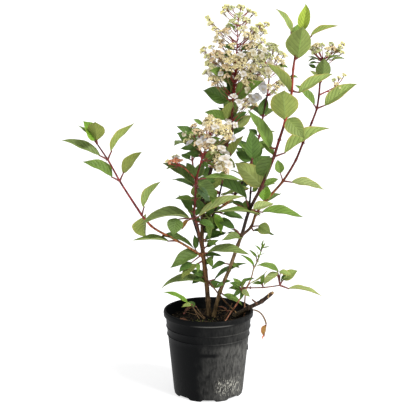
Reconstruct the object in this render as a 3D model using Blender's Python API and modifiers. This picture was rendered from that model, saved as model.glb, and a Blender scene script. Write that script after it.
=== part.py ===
"""A potted hydrangea shrub: its pot, soil, stems, boughs, and masses of leaf and bloom.

Units are metres, +Z is up and -Y is the front. The origin is the centre of the pot's flat underside.
Run it with blender --background --python part.py, or from Blender's text editor.
"""
import math
import random
from collections import namedtuple

import bmesh
import bpy
from mathutils import Matrix, Vector

OBJECT_NAME = "potted_hydrangea_shrub"
SEED = 7

# The space left between two pieces that touch.
GAP = 0.0003
WELD_DISTANCE = 0.00001

# Pot: a turned shell with a rolled rim, a narrower neck, two rings and drain notches round its foot.
POT_HEIGHT = 0.209
POT_SIDES = 32
RIM_RADIUS = 0.110
RIM_DEPTH = 0.014
RIM_ROLL = 0.003
NECK_RADIUS = 0.1035
NECK_DEPTH = 0.026
RING_DEPTHS = (0.040, 0.060)
RING_HEIGHT = 0.004
RING_RISE = 0.0015
FOOT_RADIUS = 0.0852
WALL = 0.0022
FLOOR = 0.0032
DRAIN_COUNT = 9
DRAIN_RADIUS = 0.0085
DRAIN_SIDES = 10
DRAIN_REACH = 0.030
DRAIN_START_ANGLE = 0.21

# Soil: a plug that fills the pot up to its own level.
SOIL_TOP = 0.182
SOIL_SIDES = POT_SIDES

# Limbs: tapered tubes. The ones that stand in the soil flare out at the foot.
FLARE = 1.5
FLARE_LENGTH = 0.016
THICK_LIMB = 0.0032
THICK_RESOLUTION = 2
THIN_RESOLUTION = 1
BURIED_LENGTH = 0.006

# Masses: flattened lobes round a knot on their limb, melted together and then thinned to few faces.
LOBE_THICKNESS = 0.013
KNOT_RADIUS = 0.011
MELT_VOXEL = 0.0048
LOBE_TRIANGLES = 32
KNOT_TRIANGLES = 15
BUD_TRIANGLES = 6
MASS_CLEARANCE = 0.0013
SHARPEST = 3.0
LIMB_CLEARANCE = GAP * 1.3
BALL_SUBDIVISIONS = 3

# Blooms: a core that fills this part of the box, under lumps placed along a spiral.
CORE_PARTS = (0.62, 0.62, 0.80)
GOLDEN_ANGLE = math.pi * (3.0 - math.sqrt(5.0))
ANGLE_JITTER = 0.3
LUMP_SIZES = (0.80, 1.15)
LUMP_REACHES = (0.92, 1.0)

Limb = namedtuple("Limb", "foot tip rooted colour route")
Mass = namedtuple("Mass", "limb node lobes")
Lobe = namedtuple("Lobe", "heading lean reach width turn")
Bloom = namedtuple("Bloom", "centre size buds bud_radius fullness")

BROWN = (0.10, 0.055, 0.03)
RED_BROWN = (0.17, 0.035, 0.025)
DEAD_GREY = (0.035, 0.028, 0.025)
CUT_WOOD = (0.16, 0.11, 0.07)
GREEN_STEM = (0.10, 0.13, 0.035)

# The front view: how far off, how high and how far aside the eye is, in metres, how far down it looks,
# and the picture's size and focal length, in pixels.
EYE_DISTANCE = 2.7
EYE_HEIGHT = 1.019
EYE_OFFSET = -0.001
EYE_TILT = math.radians(11.67)
VIEW_PIXELS = 416
FOCUS_PIXELS = 1147.4


def seen(across, down, depth):
    """Return the place, to the millimetre, that the front view shows at a pixel and a depth."""
    middle = VIEW_PIXELS / 2.0
    right = (across - middle) / FOCUS_PIXELS
    rise = (middle - down) / FOCUS_PIXELS
    reach = (EYE_DISTANCE + depth) / (math.cos(EYE_TILT) + rise * math.sin(EYE_TILT))
    height = EYE_HEIGHT + reach * (rise * math.cos(EYE_TILT) - math.sin(EYE_TILT))
    return round(EYE_OFFSET + reach * right, 3), depth, round(height, 3)


# Each limb's route runs from its foot to its tip, with a point at every node or bend.
# Limbs are cut in this order, each one stopping short of those before it.
LIMBS = {
    "stem_left": Limb(0.0052, 0.0022, True, BROWN, (
        (0.001, 0.020, SOIL_TOP), seen(208, 300, 0.015), seen(205, 270, 0.005), seen(203, 254, 0.0),
        seen(202, 240, 0.0), seen(203, 222, 0.010), seen(202, 203, 0.015), seen(208, 180, 0.020),
        seen(213, 165, 0.020), seen(220, 152, 0.020), seen(231, 136, 0.020), seen(232, 120, 0.020),
        seen(233, 100, 0.020), seen(235, 80, 0.020), (0.067, 0.020, 0.835))),
    "stem_right": Limb(0.0046, 0.0024, True, RED_BROWN, (
        (0.012, 0.010, SOIL_TOP), seen(220, 292, 0.005), seen(229, 270, -0.005), seen(238, 245, -0.010),
        seen(241.4, 236, -0.015), seen(249, 210.5, -0.025), seen(260, 190, -0.045), seen(274, 157, -0.070),
        seen(279, 140, -0.080), seen(285, 122, -0.090), seen(291.7, 91, -0.100), seen(293, 69, -0.105),
        seen(296, 50, -0.105))),
    "shoot_low_bloom": Limb(0.0034, 0.0020, False, RED_BROWN, (
        seen(203, 254, 0.0), seen(200, 240, -0.020), seen(197, 225, -0.035), seen(194.5, 218.5, -0.045),
        seen(195, 200, -0.065), seen(196.5, 179.5, -0.085), seen(202, 159, -0.105))),
    "twig_side_bloom": Limb(0.0015, 0.0012, False, RED_BROWN, (
        seen(196.5, 179.5, -0.085), (-0.059, -0.097, 0.578), (-0.074, -0.100, 0.587))),
    "bough_left_lower": Limb(0.0034, 0.0029, False, RED_BROWN, (
        (-0.010, 0.003, 0.335), (-0.028, -0.005, 0.352), seen(177.3, 240.8, -0.015), seen(151, 226, -0.025),
        seen(142, 215.5, -0.030))),
    "bough_left_upper": Limb(0.0029, 0.0018, False, RED_BROWN, (
        seen(142, 215.5, -0.030), seen(120, 181.4, -0.035), seen(107.8, 159.7, -0.040),
        seen(97.4, 144.4, -0.040))),
    "stub_dead": Limb(0.0030, 0.0018, False, DEAD_GREY, (
        (-0.014, 0.0, 0.360), (-0.024, 0.012, 0.390), seen(192.6, 218.4, 0.030), seen(188.8, 207.6, 0.040),
        seen(184.3, 196.8, 0.055))),
    "shoot_back": Limb(0.0030, 0.0018, False, RED_BROWN, (
        (-0.016, 0.0, 0.384), (-0.018, 0.040, 0.440), (-0.030, 0.090, 0.495), (-0.040, 0.130, 0.555),
        (-0.046, 0.158, 0.615))),
    "shoot_centre": Limb(0.0030, 0.0018, False, RED_BROWN, (
        seen(203, 222, 0.010), seen(213, 212.5, 0.025), seen(225, 204.6, 0.045), seen(236, 193, 0.065),
        seen(244.4, 177.5, 0.085), seen(252, 159.4, 0.105), seen(259, 136.6, 0.125), seen(263, 116.5, 0.140),
        seen(267, 96, 0.150), (0.153, 0.155, 0.782))),
    "shoot_inner": Limb(0.0026, 0.0018, False, BROWN, (
        (-0.013, 0.008, 0.412), seen(212, 216.5, 0.0), seen(220, 193, -0.030), seen(222.6, 181.5, -0.040))),
    "bough_right_outer": Limb(0.0032, 0.0018, False, RED_BROWN, (
        seen(241.4, 236, -0.015), seen(251, 227, 0.0), seen(255.4, 215, 0.015), seen(264, 203, 0.035),
        seen(283, 181, 0.055), seen(296, 160, 0.070), seen(303, 143, 0.080), seen(312, 122, 0.090),
        seen(317, 108.5, 0.095), seen(319, 95, 0.100), seen(320, 82, 0.100), (0.278, 0.100, 0.814))),
    "shoot_right_short": Limb(0.0027, 0.0018, False, RED_BROWN, (
        seen(249, 210.5, -0.025), (0.101, 0.0, 0.500), seen(252, 165, 0.030))),
    "shoot_low_right": Limb(0.0028, 0.0017, True, RED_BROWN, (
        (0.040, -0.012, SOIL_TOP), seen(238, 302.3, -0.035), seen(241.4, 296, -0.040), seen(242, 288, -0.045),
        seen(250, 288, -0.055), seen(263.2, 287.4, -0.070), seen(279.7, 285.5, -0.080))),
    "shoot_crossing": Limb(0.0022, 0.0016, True, BROWN, (
        (0.074, 0.036, SOIL_TOP), (0.028, -0.018, 0.248), (0.006, -0.026, 0.279), (-0.006, -0.032, 0.296))),
    "stub_cut": Limb(0.0046, 0.0038, True, CUT_WOOD, (
        (0.068, 0.032, SOIL_TOP), (0.100, -0.020, 0.219), (0.129, -0.035, 0.239), (0.153, -0.050, 0.264))),
    "seedling_stem": Limb(0.0019, 0.0015, True, GREEN_STEM, (
        (0.088, 0.022, SOIL_TOP), seen(247, 287, 0.030), seen(251, 278.6, 0.030), seen(254, 268, 0.030),
        seen(257.5, 261.7, 0.030), seen(261, 251, 0.030), seen(262.4, 245.7, 0.030))),
}

# A mass sits round a node of its limb, counted from 0 at the foot. A lobe's heading is its direction
# in the XZ plane, in degrees up from +X, its lean is how far it comes forward out of that plane, and
# its turn rolls its upper face towards the front. Reach and width are its length and breadth.
MASSES = {
    "foliage_left_tip": Mass("bough_left_upper", 3.0, (
        Lobe(105, 20, 0.075, 0.036, 85), Lobe(137, -10, 0.070, 0.034, 30), Lobe(70, -30, 0.062, 0.034, 35))),
    "foliage_left_upper": Mass("bough_left_upper", 2.0, (
        Lobe(155, 5, 0.117, 0.046, 15), Lobe(54, -15, 0.107, 0.044, -50))),
    "foliage_left_middle": Mass("bough_left_upper", 1.0, (
        Lobe(150, 10, 0.098, 0.044, 35), Lobe(51, -20, 0.090, 0.042, -70))),
    "foliage_left_bend": Mass("bough_left_upper", 0.0, (
        Lobe(60, 10, 0.098, 0.042, 50), Lobe(-72, -30, 0.078, 0.046, -40))),
    "foliage_left_low": Mass("bough_left_lower", 2.0, (
        Lobe(180, 15, 0.110, 0.044, 0), Lobe(-25, 10, 0.055, 0.030, 40))),
    "foliage_front": Mass("shoot_low_bloom", 3.0, (
        Lobe(-171, 10, 0.130, 0.050, 10), Lobe(-140, 45, 0.062, 0.042, 45), Lobe(21, 5, 0.130, 0.056, 20))),
    "foliage_under_low_bloom": Mass("shoot_low_bloom", 5.05, (
        Lobe(157, 0, 0.092, 0.046, 20), Lobe(-48, 20, 0.056, 0.030, 45), Lobe(120, -30, 0.100, 0.044, 45),
        Lobe(40, -35, 0.064, 0.034, 60))),
    "foliage_inner": Mass("shoot_inner", 2.2, (
        Lobe(-100, 30, 0.058, 0.040, 5), Lobe(75, 35, 0.050, 0.034, 0))),
    "foliage_heart": Mass("stem_left", 5.6, (
        Lobe(-60, 20, 0.062, 0.036, -25), Lobe(165, -45, 0.090, 0.046, 0), Lobe(20, -55, 0.090, 0.046, 0))),
    "foliage_stem_middle": Mass("stem_left", 9.2, (
        Lobe(60, 25, 0.080, 0.040, -40), Lobe(165, -45, 0.086, 0.044, 10))),
    "foliage_stem_high": Mass("stem_left", 11.0, (
        Lobe(92, 25, 0.066, 0.038, -5), Lobe(160, 10, 0.078, 0.036, 55), Lobe(30, -25, 0.060, 0.034, 60),
        Lobe(100, -60, 0.080, 0.044, 0))),
    "foliage_under_tall_bloom": Mass("stem_left", 12.1, (
        Lobe(162, 5, 0.078, 0.042, 75), Lobe(25, -10, 0.086, 0.036, 30), Lobe(150, -65, 0.080, 0.042, 0))),
    "foliage_stem_low": Mass("stem_left", 2.75, (
        Lobe(-152, 15, 0.090, 0.048, 35), Lobe(-132, 32, 0.074, 0.034, 25), Lobe(3, 15, 0.116, 0.044, 10))),
    "foliage_stem_foot": Mass("stem_left", 1.65, (
        Lobe(-172, 20, 0.112, 0.034, -5), Lobe(44, -5, 0.125, 0.038, 10), Lobe(-150, 50, 0.056, 0.030, 45))),
    "foliage_right_foot": Mass("stem_right", 1.2, (
        Lobe(-32, 20, 0.066, 0.028, 10), Lobe(25, 25, 0.048, 0.024, 40), Lobe(-160, 45, 0.040, 0.026, 60))),
    "foliage_right_fork": Mass("stem_right", 5.0, (
        Lobe(-5, 10, 0.130, 0.050, 10), Lobe(15, -35, 0.074, 0.040, 25), Lobe(147, -15, 0.142, 0.056, 10),
        Lobe(180, 15, 0.072, 0.030, 0))),
    "foliage_right_inner_low": Mass("stem_right", 6.0, (
        Lobe(138, -12, 0.094, 0.054, -90), Lobe(28, -20, 0.056, 0.032, 35))),
    "foliage_right_inner_middle": Mass("stem_right", 7.1, (
        Lobe(-110, 25, 0.074, 0.042, 20), Lobe(121, -15, 0.116, 0.046, -5), Lobe(28, 5, 0.146, 0.056, 30))),
    "foliage_right_inner_upper": Mass("stem_right", 9.0, (
        Lobe(85, 45, 0.100, 0.060, -10), Lobe(-42, 20, 0.066, 0.040, 65), Lobe(110, -50, 0.084, 0.044, 0))),
    "foliage_right_inner_high": Mass("stem_right", 10.0, (
        Lobe(23, -10, 0.108, 0.046, 25), Lobe(125, 0, 0.088, 0.040, -45))),
    "foliage_right_top": Mass("stem_right", 12.0, (
        Lobe(80, -10, 0.108, 0.042, 15), Lobe(114, 0, 0.106, 0.034, 25), Lobe(28, 0, 0.112, 0.036, 20),
        Lobe(110, -45, 0.080, 0.046, 5))),
    "foliage_right_short": Mass("shoot_right_short", 1.8, (
        Lobe(100, -10, 0.088, 0.048, 25), Lobe(165, -20, 0.054, 0.032, 70), Lobe(30, -50, 0.080, 0.044, 0))),
    "foliage_right_low": Mass("bough_right_outer", 1.2, (
        Lobe(-14, 20, 0.054, 0.036, 65), Lobe(-8, -25, 0.074, 0.036, 20))),
    "foliage_outer_low": Mass("bough_right_outer", 3.0, (
        Lobe(80, -30, 0.054, 0.042, 10), Lobe(10, -60, 0.086, 0.044, 0))),
    "foliage_outer_middle": Mass("bough_right_outer", 4.0, (
        Lobe(105, -20, 0.056, 0.032, 20), Lobe(-8, 10, 0.102, 0.042, 20))),
    "foliage_outer_upper": Mass("bough_right_outer", 8.0, (
        Lobe(135, -10, 0.080, 0.036, 20), Lobe(33, 5, 0.112, 0.048, 30))),
    "foliage_centre_low": Mass("shoot_centre", 3.0, (
        Lobe(20, -55, 0.088, 0.044, 0), Lobe(150, -50, 0.088, 0.044, 0))),
    "foliage_centre_middle": Mass("shoot_centre", 5.2, (
        Lobe(150, -45, 0.090, 0.044, 0), Lobe(30, -50, 0.084, 0.042, 0))),
    "foliage_centre_upper": Mass("shoot_centre", 7.0, (
        Lobe(80, -20, 0.058, 0.038, 25), Lobe(160, -60, 0.080, 0.042, 0), Lobe(10, -60, 0.080, 0.042, 0))),
    "foliage_back_low": Mass("shoot_back", 2.0, (
        Lobe(172, -45, 0.088, 0.044, 0), Lobe(15, -40, 0.088, 0.044, 0))),
    "foliage_back_high": Mass("shoot_back", 3.7, (
        Lobe(130, -40, 0.084, 0.044, 0), Lobe(50, -45, 0.084, 0.044, 0), Lobe(-160, -55, 0.080, 0.042, 0))),
    "foliage_low_shoot": Mass("shoot_low_right", 5.9, (
        Lobe(-11, 10, 0.098, 0.036, 0), Lobe(40, -10, 0.060, 0.030, 35), Lobe(165, -25, 0.048, 0.026, 25))),
    "foliage_low_sprouts": Mass("shoot_low_right", 2.6, (
        Lobe(115, 10, 0.040, 0.026, 40), Lobe(35, 15, 0.036, 0.024, 40), Lobe(-140, 40, 0.032, 0.024, 20))),
    "foliage_seedling": Mass("seedling_stem", 3.2, (
        Lobe(140, 5, 0.046, 0.018, 30), Lobe(15, -20, 0.044, 0.018, 20))),
}

# A bloom fills the box of this size with round lumps. Its fullness is its breadth at the foot, as a
# part of its greatest breadth.
BLOOMS = {
    "bloom_tall_upper": Bloom((0.066, 0.020, 0.872), (0.160, 0.124, 0.140), 17, 0.022, 0.80),
    "bloom_tall_lower": Bloom((0.066, 0.020, 0.770), (0.130, 0.108, 0.100), 12, 0.020, 0.45),
    "bloom_low": Bloom((0.003, -0.115, 0.634), (0.130, 0.116, 0.136), 16, 0.021, 0.80),
    "bloom_side": Bloom((-0.078, -0.100, 0.590), (0.052, 0.042, 0.030), 4, 0.011, 0.90),
    "bloom_centre": Bloom((0.158, 0.155, 0.796), (0.066, 0.060, 0.066), 7, 0.014, 0.70),
    "bloom_right": Bloom((0.284, 0.100, 0.824), (0.090, 0.070, 0.052), 8, 0.014, 0.80),
}

POT_COLOUR = (0.022, 0.023, 0.025)
SOIL_COLOUR = (0.035, 0.022, 0.013)
FOLIAGE_COLOUR = (0.13, 0.24, 0.045)
BLOOM_COLOUR = (0.72, 0.68, 0.50)


def clear_scene():
    """Remove every object, and the meshes that they leave behind."""
    for thing in list(bpy.data.objects):
        bpy.data.objects.remove(thing, do_unlink=True)
    for mesh in list(bpy.data.meshes):
        bpy.data.meshes.remove(mesh)


def new_collection(name):
    """Make a collection in the scene."""
    collection = bpy.data.collections.new(name)
    bpy.context.scene.collection.children.link(collection)
    return collection


def add_object(name, mesh, collection):
    """Put a mesh in the scene as an object."""
    thing = bpy.data.objects.new(name, mesh)
    collection.objects.link(thing)
    return thing


def hide_cutter(cutter):
    """Mark an object as a cutting tool, which is not part of the shrub."""
    cutter.hide_render = True
    cutter.display_type = "WIRE"
    return cutter


def paint(thing, colour, roughness):
    """Give an object a material of its own."""
    material = bpy.data.materials.new(thing.name + "_finish")
    material.use_nodes = True
    shader = material.node_tree.nodes["Principled BSDF"]
    shader.inputs["Base Color"].default_value = (*colour, 1.0)
    shader.inputs["Roughness"].default_value = roughness
    shader.inputs["Metallic"].default_value = 0.0
    material.diffuse_color = (*colour, 1.0)
    thing.data.materials.clear()
    thing.data.materials.append(material)


def evaluated_copy(thing):
    """Return an object's mesh as its modifiers leave it, with its seams welded."""
    bpy.context.view_layer.update()
    graph = bpy.context.evaluated_depsgraph_get()
    mesh = bpy.data.meshes.new_from_object(thing.evaluated_get(graph))
    form = bmesh.new()
    form.from_mesh(mesh)
    bmesh.ops.remove_doubles(form, verts=form.verts, dist=WELD_DISTANCE)
    form.to_mesh(mesh)
    form.free()
    return mesh


def settle(thing):
    """Apply an object's modifiers to its mesh."""
    mesh = evaluated_copy(thing)
    thing.modifiers.clear()
    thing.data = mesh


def piece_volume(faces):
    """Return the volume that a closed set of faces encloses."""
    total = 0.0
    for face in faces:
        corners = [vert.co for vert in face.verts]
        for second, third in zip(corners[1:], corners[2:]):
            total += corners[0].dot(second.cross(third))
    return abs(total) / 6.0


def keep_largest_piece(thing):
    """Delete every loose piece of an object's mesh but the largest."""
    form = bmesh.new()
    form.from_mesh(thing.data)
    pieces = []
    unseen = set(form.faces)
    while unseen:
        piece = {unseen.pop()}
        edge_faces = list(piece)
        while edge_faces:
            face = edge_faces.pop()
            for edge in face.edges:
                for other in edge.link_faces:
                    if other in unseen:
                        unseen.discard(other)
                        piece.add(other)
                        edge_faces.append(other)
        pieces.append(piece)
    pieces.sort(key=piece_volume)
    spare = [vert for piece in pieces[:-1] for face in piece for vert in face.verts]
    bmesh.ops.delete(form, geom=list(set(spare)), context="VERTS")
    form.to_mesh(thing.data)
    form.free()


def corners_of(thing):
    """Return the lowest and highest corners of an object's mesh."""
    places = [vert.co for vert in thing.data.vertices]
    low = Vector(min(place[axis] for place in places) for axis in range(3))
    high = Vector(max(place[axis] for place in places) for axis in range(3))
    return low, high


def boxes_meet(one, other):
    """Say whether the boxes round two objects overlap."""
    low, high = corners_of(one)
    other_low, other_high = corners_of(other)
    return all(low[axis] < other_high[axis] and other_low[axis] < high[axis] for axis in range(3))


def carve(thing, cutters):
    """Cut an object back from each cutter that comes near it, and keep the main piece."""
    for cutter in cutters:
        if not boxes_meet(thing, cutter):
            continue
        cut = thing.modifiers.new("cut", "BOOLEAN")
        cut.operation = "DIFFERENCE"
        cut.solver = "EXACT"
        cut.object = cutter
        settle(thing)
        keep_largest_piece(thing)


def route_length(route):
    """Return the length of a route."""
    return sum((after - before).length for before, after in zip(route, route[1:]))


def route_point(route, node):
    """Return the place at a node number, which may lie between two of the route's points."""
    index = min(int(node), len(route) - 2)
    return route[index].lerp(route[index + 1], node - index)


def limb_profile(limb):
    """Return a limb's points and its radius at each one, with the flare of a rooted foot."""
    route = [Vector(point) for point in limb.route]
    if limb.rooted:
        direction = (route[1] - route[0]).normalized()
        route.insert(1, route[0] + direction * FLARE_LENGTH)
        route[0] = route[0] - direction * BURIED_LENGTH
    whole = route_length(route)
    radii = []
    for index in range(len(route)):
        part = route_length(route[:index + 1]) / whole
        radii.append(limb.foot + (limb.tip - limb.foot) * part)
    if limb.rooted:
        radii[0] *= FLARE
    return route, radii


def tube(name, route, radii, resolution, collection):
    """Make a closed tapering tube along a route."""
    curve = bpy.data.curves.new(name, "CURVE")
    curve.dimensions = "3D"
    curve.bevel_depth = 1.0
    curve.bevel_resolution = resolution
    curve.use_fill_caps = True
    line = curve.splines.new("POLY")
    line.points.add(len(route) - 1)
    for point, place, radius in zip(line.points, route, radii):
        point.co = (*place, 1.0)
        point.radius = radius
    guide = add_object(name + "_guide", curve, collection)
    mesh = evaluated_copy(guide)
    bpy.data.objects.remove(guide)
    bpy.data.curves.remove(curve)
    mesh.name = name
    return add_object(name, mesh, collection)


def limb_resolution(limb):
    """Return how round a limb is made."""
    return THICK_RESOLUTION if limb.foot > THICK_LIMB else THIN_RESOLUTION


def limb_cutter(name, limb, cutters):
    """Make a limb's own shape grown by the gap, to cut its neighbours back from it."""
    route, radii = limb_profile(limb)
    first = (route[1] - route[0]).normalized()
    last = (route[-1] - route[-2]).normalized()
    route[0] = route[0] - first * GAP
    route[-1] = route[-1] + last * GAP
    grown = [radius + LIMB_CLEARANCE for radius in radii]
    return hide_cutter(tube(name + "_cutter", route, grown, limb_resolution(limb), cutters))


def turned(name, profile, sides, collection):
    """Turn a profile of (radius, height) points about the Z axis."""
    mesh = bpy.data.meshes.new(name)
    form = bmesh.new()
    points = [form.verts.new((radius, 0.0, height)) for radius, height in profile]
    for before, after in zip(points, points[1:]):
        form.edges.new((before, after))
    form.to_mesh(mesh)
    form.free()
    thing = add_object(name, mesh, collection)
    screw = thing.modifiers.new("turn", "SCREW")
    screw.axis = "Z"
    screw.steps = sides
    screw.render_steps = sides
    screw.use_merge_vertices = True
    screw.merge_threshold = WELD_DISTANCE
    settle(thing)
    return thing


def wall_radius(height):
    """Return the outer radius of the pot's tapered wall at a height."""
    return FOOT_RADIUS + (NECK_RADIUS - FOOT_RADIUS) * height / (POT_HEIGHT - NECK_DEPTH)


def ring_profile(depth):
    """Return the points of one raised ring round the pot's wall."""
    top = POT_HEIGHT - depth
    bottom = top - RING_HEIGHT
    middle = top - RING_HEIGHT / 2.0
    return [(wall_radius(top), top), (wall_radius(middle) + RING_RISE, middle), (wall_radius(bottom), bottom)]


def pot_profile():
    """Return the pot's outline, from its floor's centre up the inside, over the rim and down."""
    rim_bottom = POT_HEIGHT - RIM_DEPTH
    neck_bottom = POT_HEIGHT - NECK_DEPTH
    inside_top = NECK_RADIUS - WALL
    inside = [(0.0, FLOOR), (FOOT_RADIUS - WALL, FLOOR), (inside_top, neck_bottom),
              (inside_top + RIM_ROLL, POT_HEIGHT - RIM_ROLL)]
    rim = [(RIM_RADIUS - RIM_ROLL * 1.6, POT_HEIGHT),
           (RIM_RADIUS - RIM_ROLL * 0.3, POT_HEIGHT - RIM_ROLL * 0.6),
           (RIM_RADIUS, POT_HEIGHT - RIM_ROLL * 2.0), (RIM_RADIUS - RIM_ROLL * 0.4, rim_bottom)]
    neck = [(NECK_RADIUS + WALL * 0.5, rim_bottom), (NECK_RADIUS, neck_bottom)]
    rings = [point for depth in RING_DEPTHS for point in ring_profile(depth)]
    return inside + rim + neck + rings + [(FOOT_RADIUS, 0.0), (0.0, 0.0)]


def build_pot(parts, cutters):
    """Make the pot, with its drain notches cut through the foot of its wall."""
    pot = turned("pot", pot_profile(), POT_SIDES, parts)
    for index in range(DRAIN_COUNT):
        angle = DRAIN_START_ANGLE + index * math.tau / DRAIN_COUNT
        facing = Vector((math.cos(angle), math.sin(angle), 0.0))
        form = bmesh.new()
        bmesh.ops.create_cone(form, cap_ends=True, segments=DRAIN_SIDES, radius1=DRAIN_RADIUS,
                              radius2=DRAIN_RADIUS, depth=DRAIN_REACH)
        turn = facing.to_track_quat("Z", "Y").to_matrix().to_4x4()
        bmesh.ops.transform(form, matrix=Matrix.Translation(facing * FOOT_RADIUS) @ turn, verts=form.verts)
        mesh = bpy.data.meshes.new("drain_cutter")
        form.to_mesh(mesh)
        form.free()
        carve(pot, [hide_cutter(add_object("drain_cutter", mesh, cutters))])
    paint(pot, POT_COLOUR, 0.45)


def build_soil(parts):
    """Make the soil, a plug that stands clear of the pot by the gap."""
    foot = FLOOR + DRAIN_RADIUS
    slope = (NECK_RADIUS - FOOT_RADIUS) / (POT_HEIGHT - NECK_DEPTH)
    inner_foot = FOOT_RADIUS - WALL - 2.0 * GAP
    inner_top = inner_foot + slope * (SOIL_TOP - FLOOR)
    inner_shoulder = inner_foot + slope * (foot - FLOOR)
    profile = [(0.0, SOIL_TOP), (inner_top, SOIL_TOP), (inner_shoulder, foot),
               (inner_foot - DRAIN_REACH / 2.0, FLOOR + GAP), (0.0, FLOOR + GAP)]
    paint(turned("soil", profile, SOIL_SIDES, parts), SOIL_COLOUR, 0.95)


def soil_cutter(cutters):
    """Make the block that cuts every rooted limb flat at the soil."""
    form = bmesh.new()
    bmesh.ops.create_cube(form, size=1.0)
    height = POT_HEIGHT / 2.0
    size = Matrix.Diagonal((2.0 * RIM_RADIUS, 2.0 * RIM_RADIUS, height, 1.0))
    place = Matrix.Translation((0.0, 0.0, SOIL_TOP + GAP - height / 2.0))
    bmesh.ops.transform(form, matrix=place @ size, verts=form.verts)
    mesh = bpy.data.meshes.new("soil_cutter")
    form.to_mesh(mesh)
    form.free()
    return hide_cutter(add_object("soil_cutter", mesh, cutters))


def build_limbs(parts, cutters):
    """Make every stem and bough, and return the cutters that keep the rest clear of them."""
    ground = soil_cutter(cutters)
    grown = []
    for name, limb in LIMBS.items():
        route, radii = limb_profile(limb)
        thing = tube(name, route, radii, limb_resolution(limb), parts)
        carve(thing, ([ground] if limb.rooted else []) + grown)
        grown.append(limb_cutter(name, limb, cutters))
        paint(thing, limb.colour, 0.6)
    return grown


def lobe_matrix(foot, lobe):
    """Return the matrix that lays a unit ball out as a lobe that starts at its foot."""
    heading = math.radians(lobe.heading)
    lean = math.radians(lobe.lean)
    along = Vector((math.cos(lean) * math.cos(heading), -math.sin(lean), math.cos(lean) * math.sin(heading)))
    side = along.cross(Vector((0.0, 0.0, 1.0))).normalized()
    if side.y > 0.0:
        side.negate()
    upper = (Vector((0.0, 0.0, 1.0)) - along * along.z).normalized()
    turn = math.radians(lobe.turn)
    face = upper * math.cos(turn) + side * math.sin(turn)
    across = face.cross(along)
    axes = Matrix((along, across, face)).transposed().to_4x4()
    size = Matrix.Diagonal((lobe.reach / 2.0, lobe.width / 2.0, LOBE_THICKNESS / 2.0, 1.0))
    return Matrix.Translation(foot + along * (lobe.reach / 2.0)) @ axes @ size


def add_ball(form, matrix):
    """Add a ball, shaped and placed by a matrix, to a mass."""
    bmesh.ops.create_icosphere(form, subdivisions=BALL_SUBDIVISIONS, radius=1.0, matrix=matrix)


def melt(name, form, triangles, collection):
    """Melt overlapping balls into one closed skin, and thin it to about so many triangles."""
    mesh = bpy.data.meshes.new(name)
    form.to_mesh(mesh)
    form.free()
    thing = add_object(name, mesh, collection)
    skin = thing.modifiers.new("melt", "REMESH")
    skin.mode = "VOXEL"
    skin.voxel_size = MELT_VOXEL
    settle(thing)
    mesh = thing.data
    mesh.calc_loop_triangles()
    thin = thing.modifiers.new("thin", "DECIMATE")
    thin.ratio = min(1.0, triangles / len(mesh.loop_triangles))
    thin.use_collapse_triangulate = True
    settle(thing)
    keep_largest_piece(thing)
    return thing


def grown_cutter(thing, cutters):
    """Copy a mass, grown by its clearance, to cut its neighbours back from it."""
    form = bmesh.new()
    form.from_mesh(thing.data)
    form.normal_update()
    moved = []
    for vert in form.verts:
        sharpness = min(vert.calc_shell_factor(), SHARPEST)
        moved.append((vert, vert.co + vert.normal * MASS_CLEARANCE * sharpness))
    for vert, place in moved:
        vert.co = place
    mesh = bpy.data.meshes.new(thing.name + "_cutter")
    form.to_mesh(mesh)
    form.free()
    return hide_cutter(add_object(mesh.name, mesh, cutters))


def build_mass(name, mass, parts):
    """Make one mass of leaves round its node."""
    route = [Vector(point) for point in LIMBS[mass.limb].route]
    foot = route_point(route, mass.node)
    form = bmesh.new()
    add_ball(form, Matrix.Translation(foot) @ Matrix.Diagonal((KNOT_RADIUS, KNOT_RADIUS, KNOT_RADIUS, 1.0)))
    for lobe in mass.lobes:
        add_ball(form, lobe_matrix(foot, lobe))
    return melt(name, form, KNOT_TRIANGLES + LOBE_TRIANGLES * len(mass.lobes), parts)


def bloom_breadth(bloom, height):
    """Return how broad a bloom is, as a part of its greatest breadth, from its foot at -1 to its top at 1."""
    if height < 0.0:
        return min(1.0, bloom.fullness + (1.0 + height) / 2.0)
    return math.sqrt(1.0 - height * height)


def build_bloom(name, bloom, parts):
    """Make one bloom as a heap of round lumps inside its box, round a core."""
    chance = random.Random(SEED + len(name))
    half = Vector(bloom.size) / 2.0
    centre = Vector(bloom.centre)
    form = bmesh.new()
    core = Matrix.Diagonal((*(side * part for side, part in zip(half, CORE_PARTS)), 1.0))
    add_ball(form, Matrix.Translation(centre) @ core)
    for index in range(bloom.buds):
        height = (2.0 * index + 1.0) / bloom.buds - 1.0
        angle = index * GOLDEN_ANGLE + chance.uniform(-ANGLE_JITTER, ANGLE_JITTER)
        radius = bloom.bud_radius * chance.uniform(*LUMP_SIZES)
        reach = bloom_breadth(bloom, height) * chance.uniform(*LUMP_REACHES)
        room = Vector(max(side - radius, 0.0) for side in half)
        offset = Vector((math.cos(angle) * room.x * reach, math.sin(angle) * room.y * reach, height * room.z))
        lump = Matrix.Diagonal((radius, radius, radius, 1.0))
        add_ball(form, Matrix.Translation(centre + offset) @ lump)
    return melt(name, form, KNOT_TRIANGLES + BUD_TRIANGLES * bloom.buds, parts)


def build_masses(parts, cutters, limbs):
    """Make every mass of leaf and bloom, each one clear of the limbs and of the masses before it."""
    grown = []
    for name, bloom in BLOOMS.items():
        thing = build_bloom(name, bloom, parts)
        carve(thing, limbs + grown)
        grown.append(grown_cutter(thing, cutters))
        paint(thing, BLOOM_COLOUR, 0.8)
    for name, mass in MASSES.items():
        thing = build_mass(name, mass, parts)
        carve(thing, limbs + grown)
        grown.append(grown_cutter(thing, cutters))
        paint(thing, FOLIAGE_COLOUR, 0.7)


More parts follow.
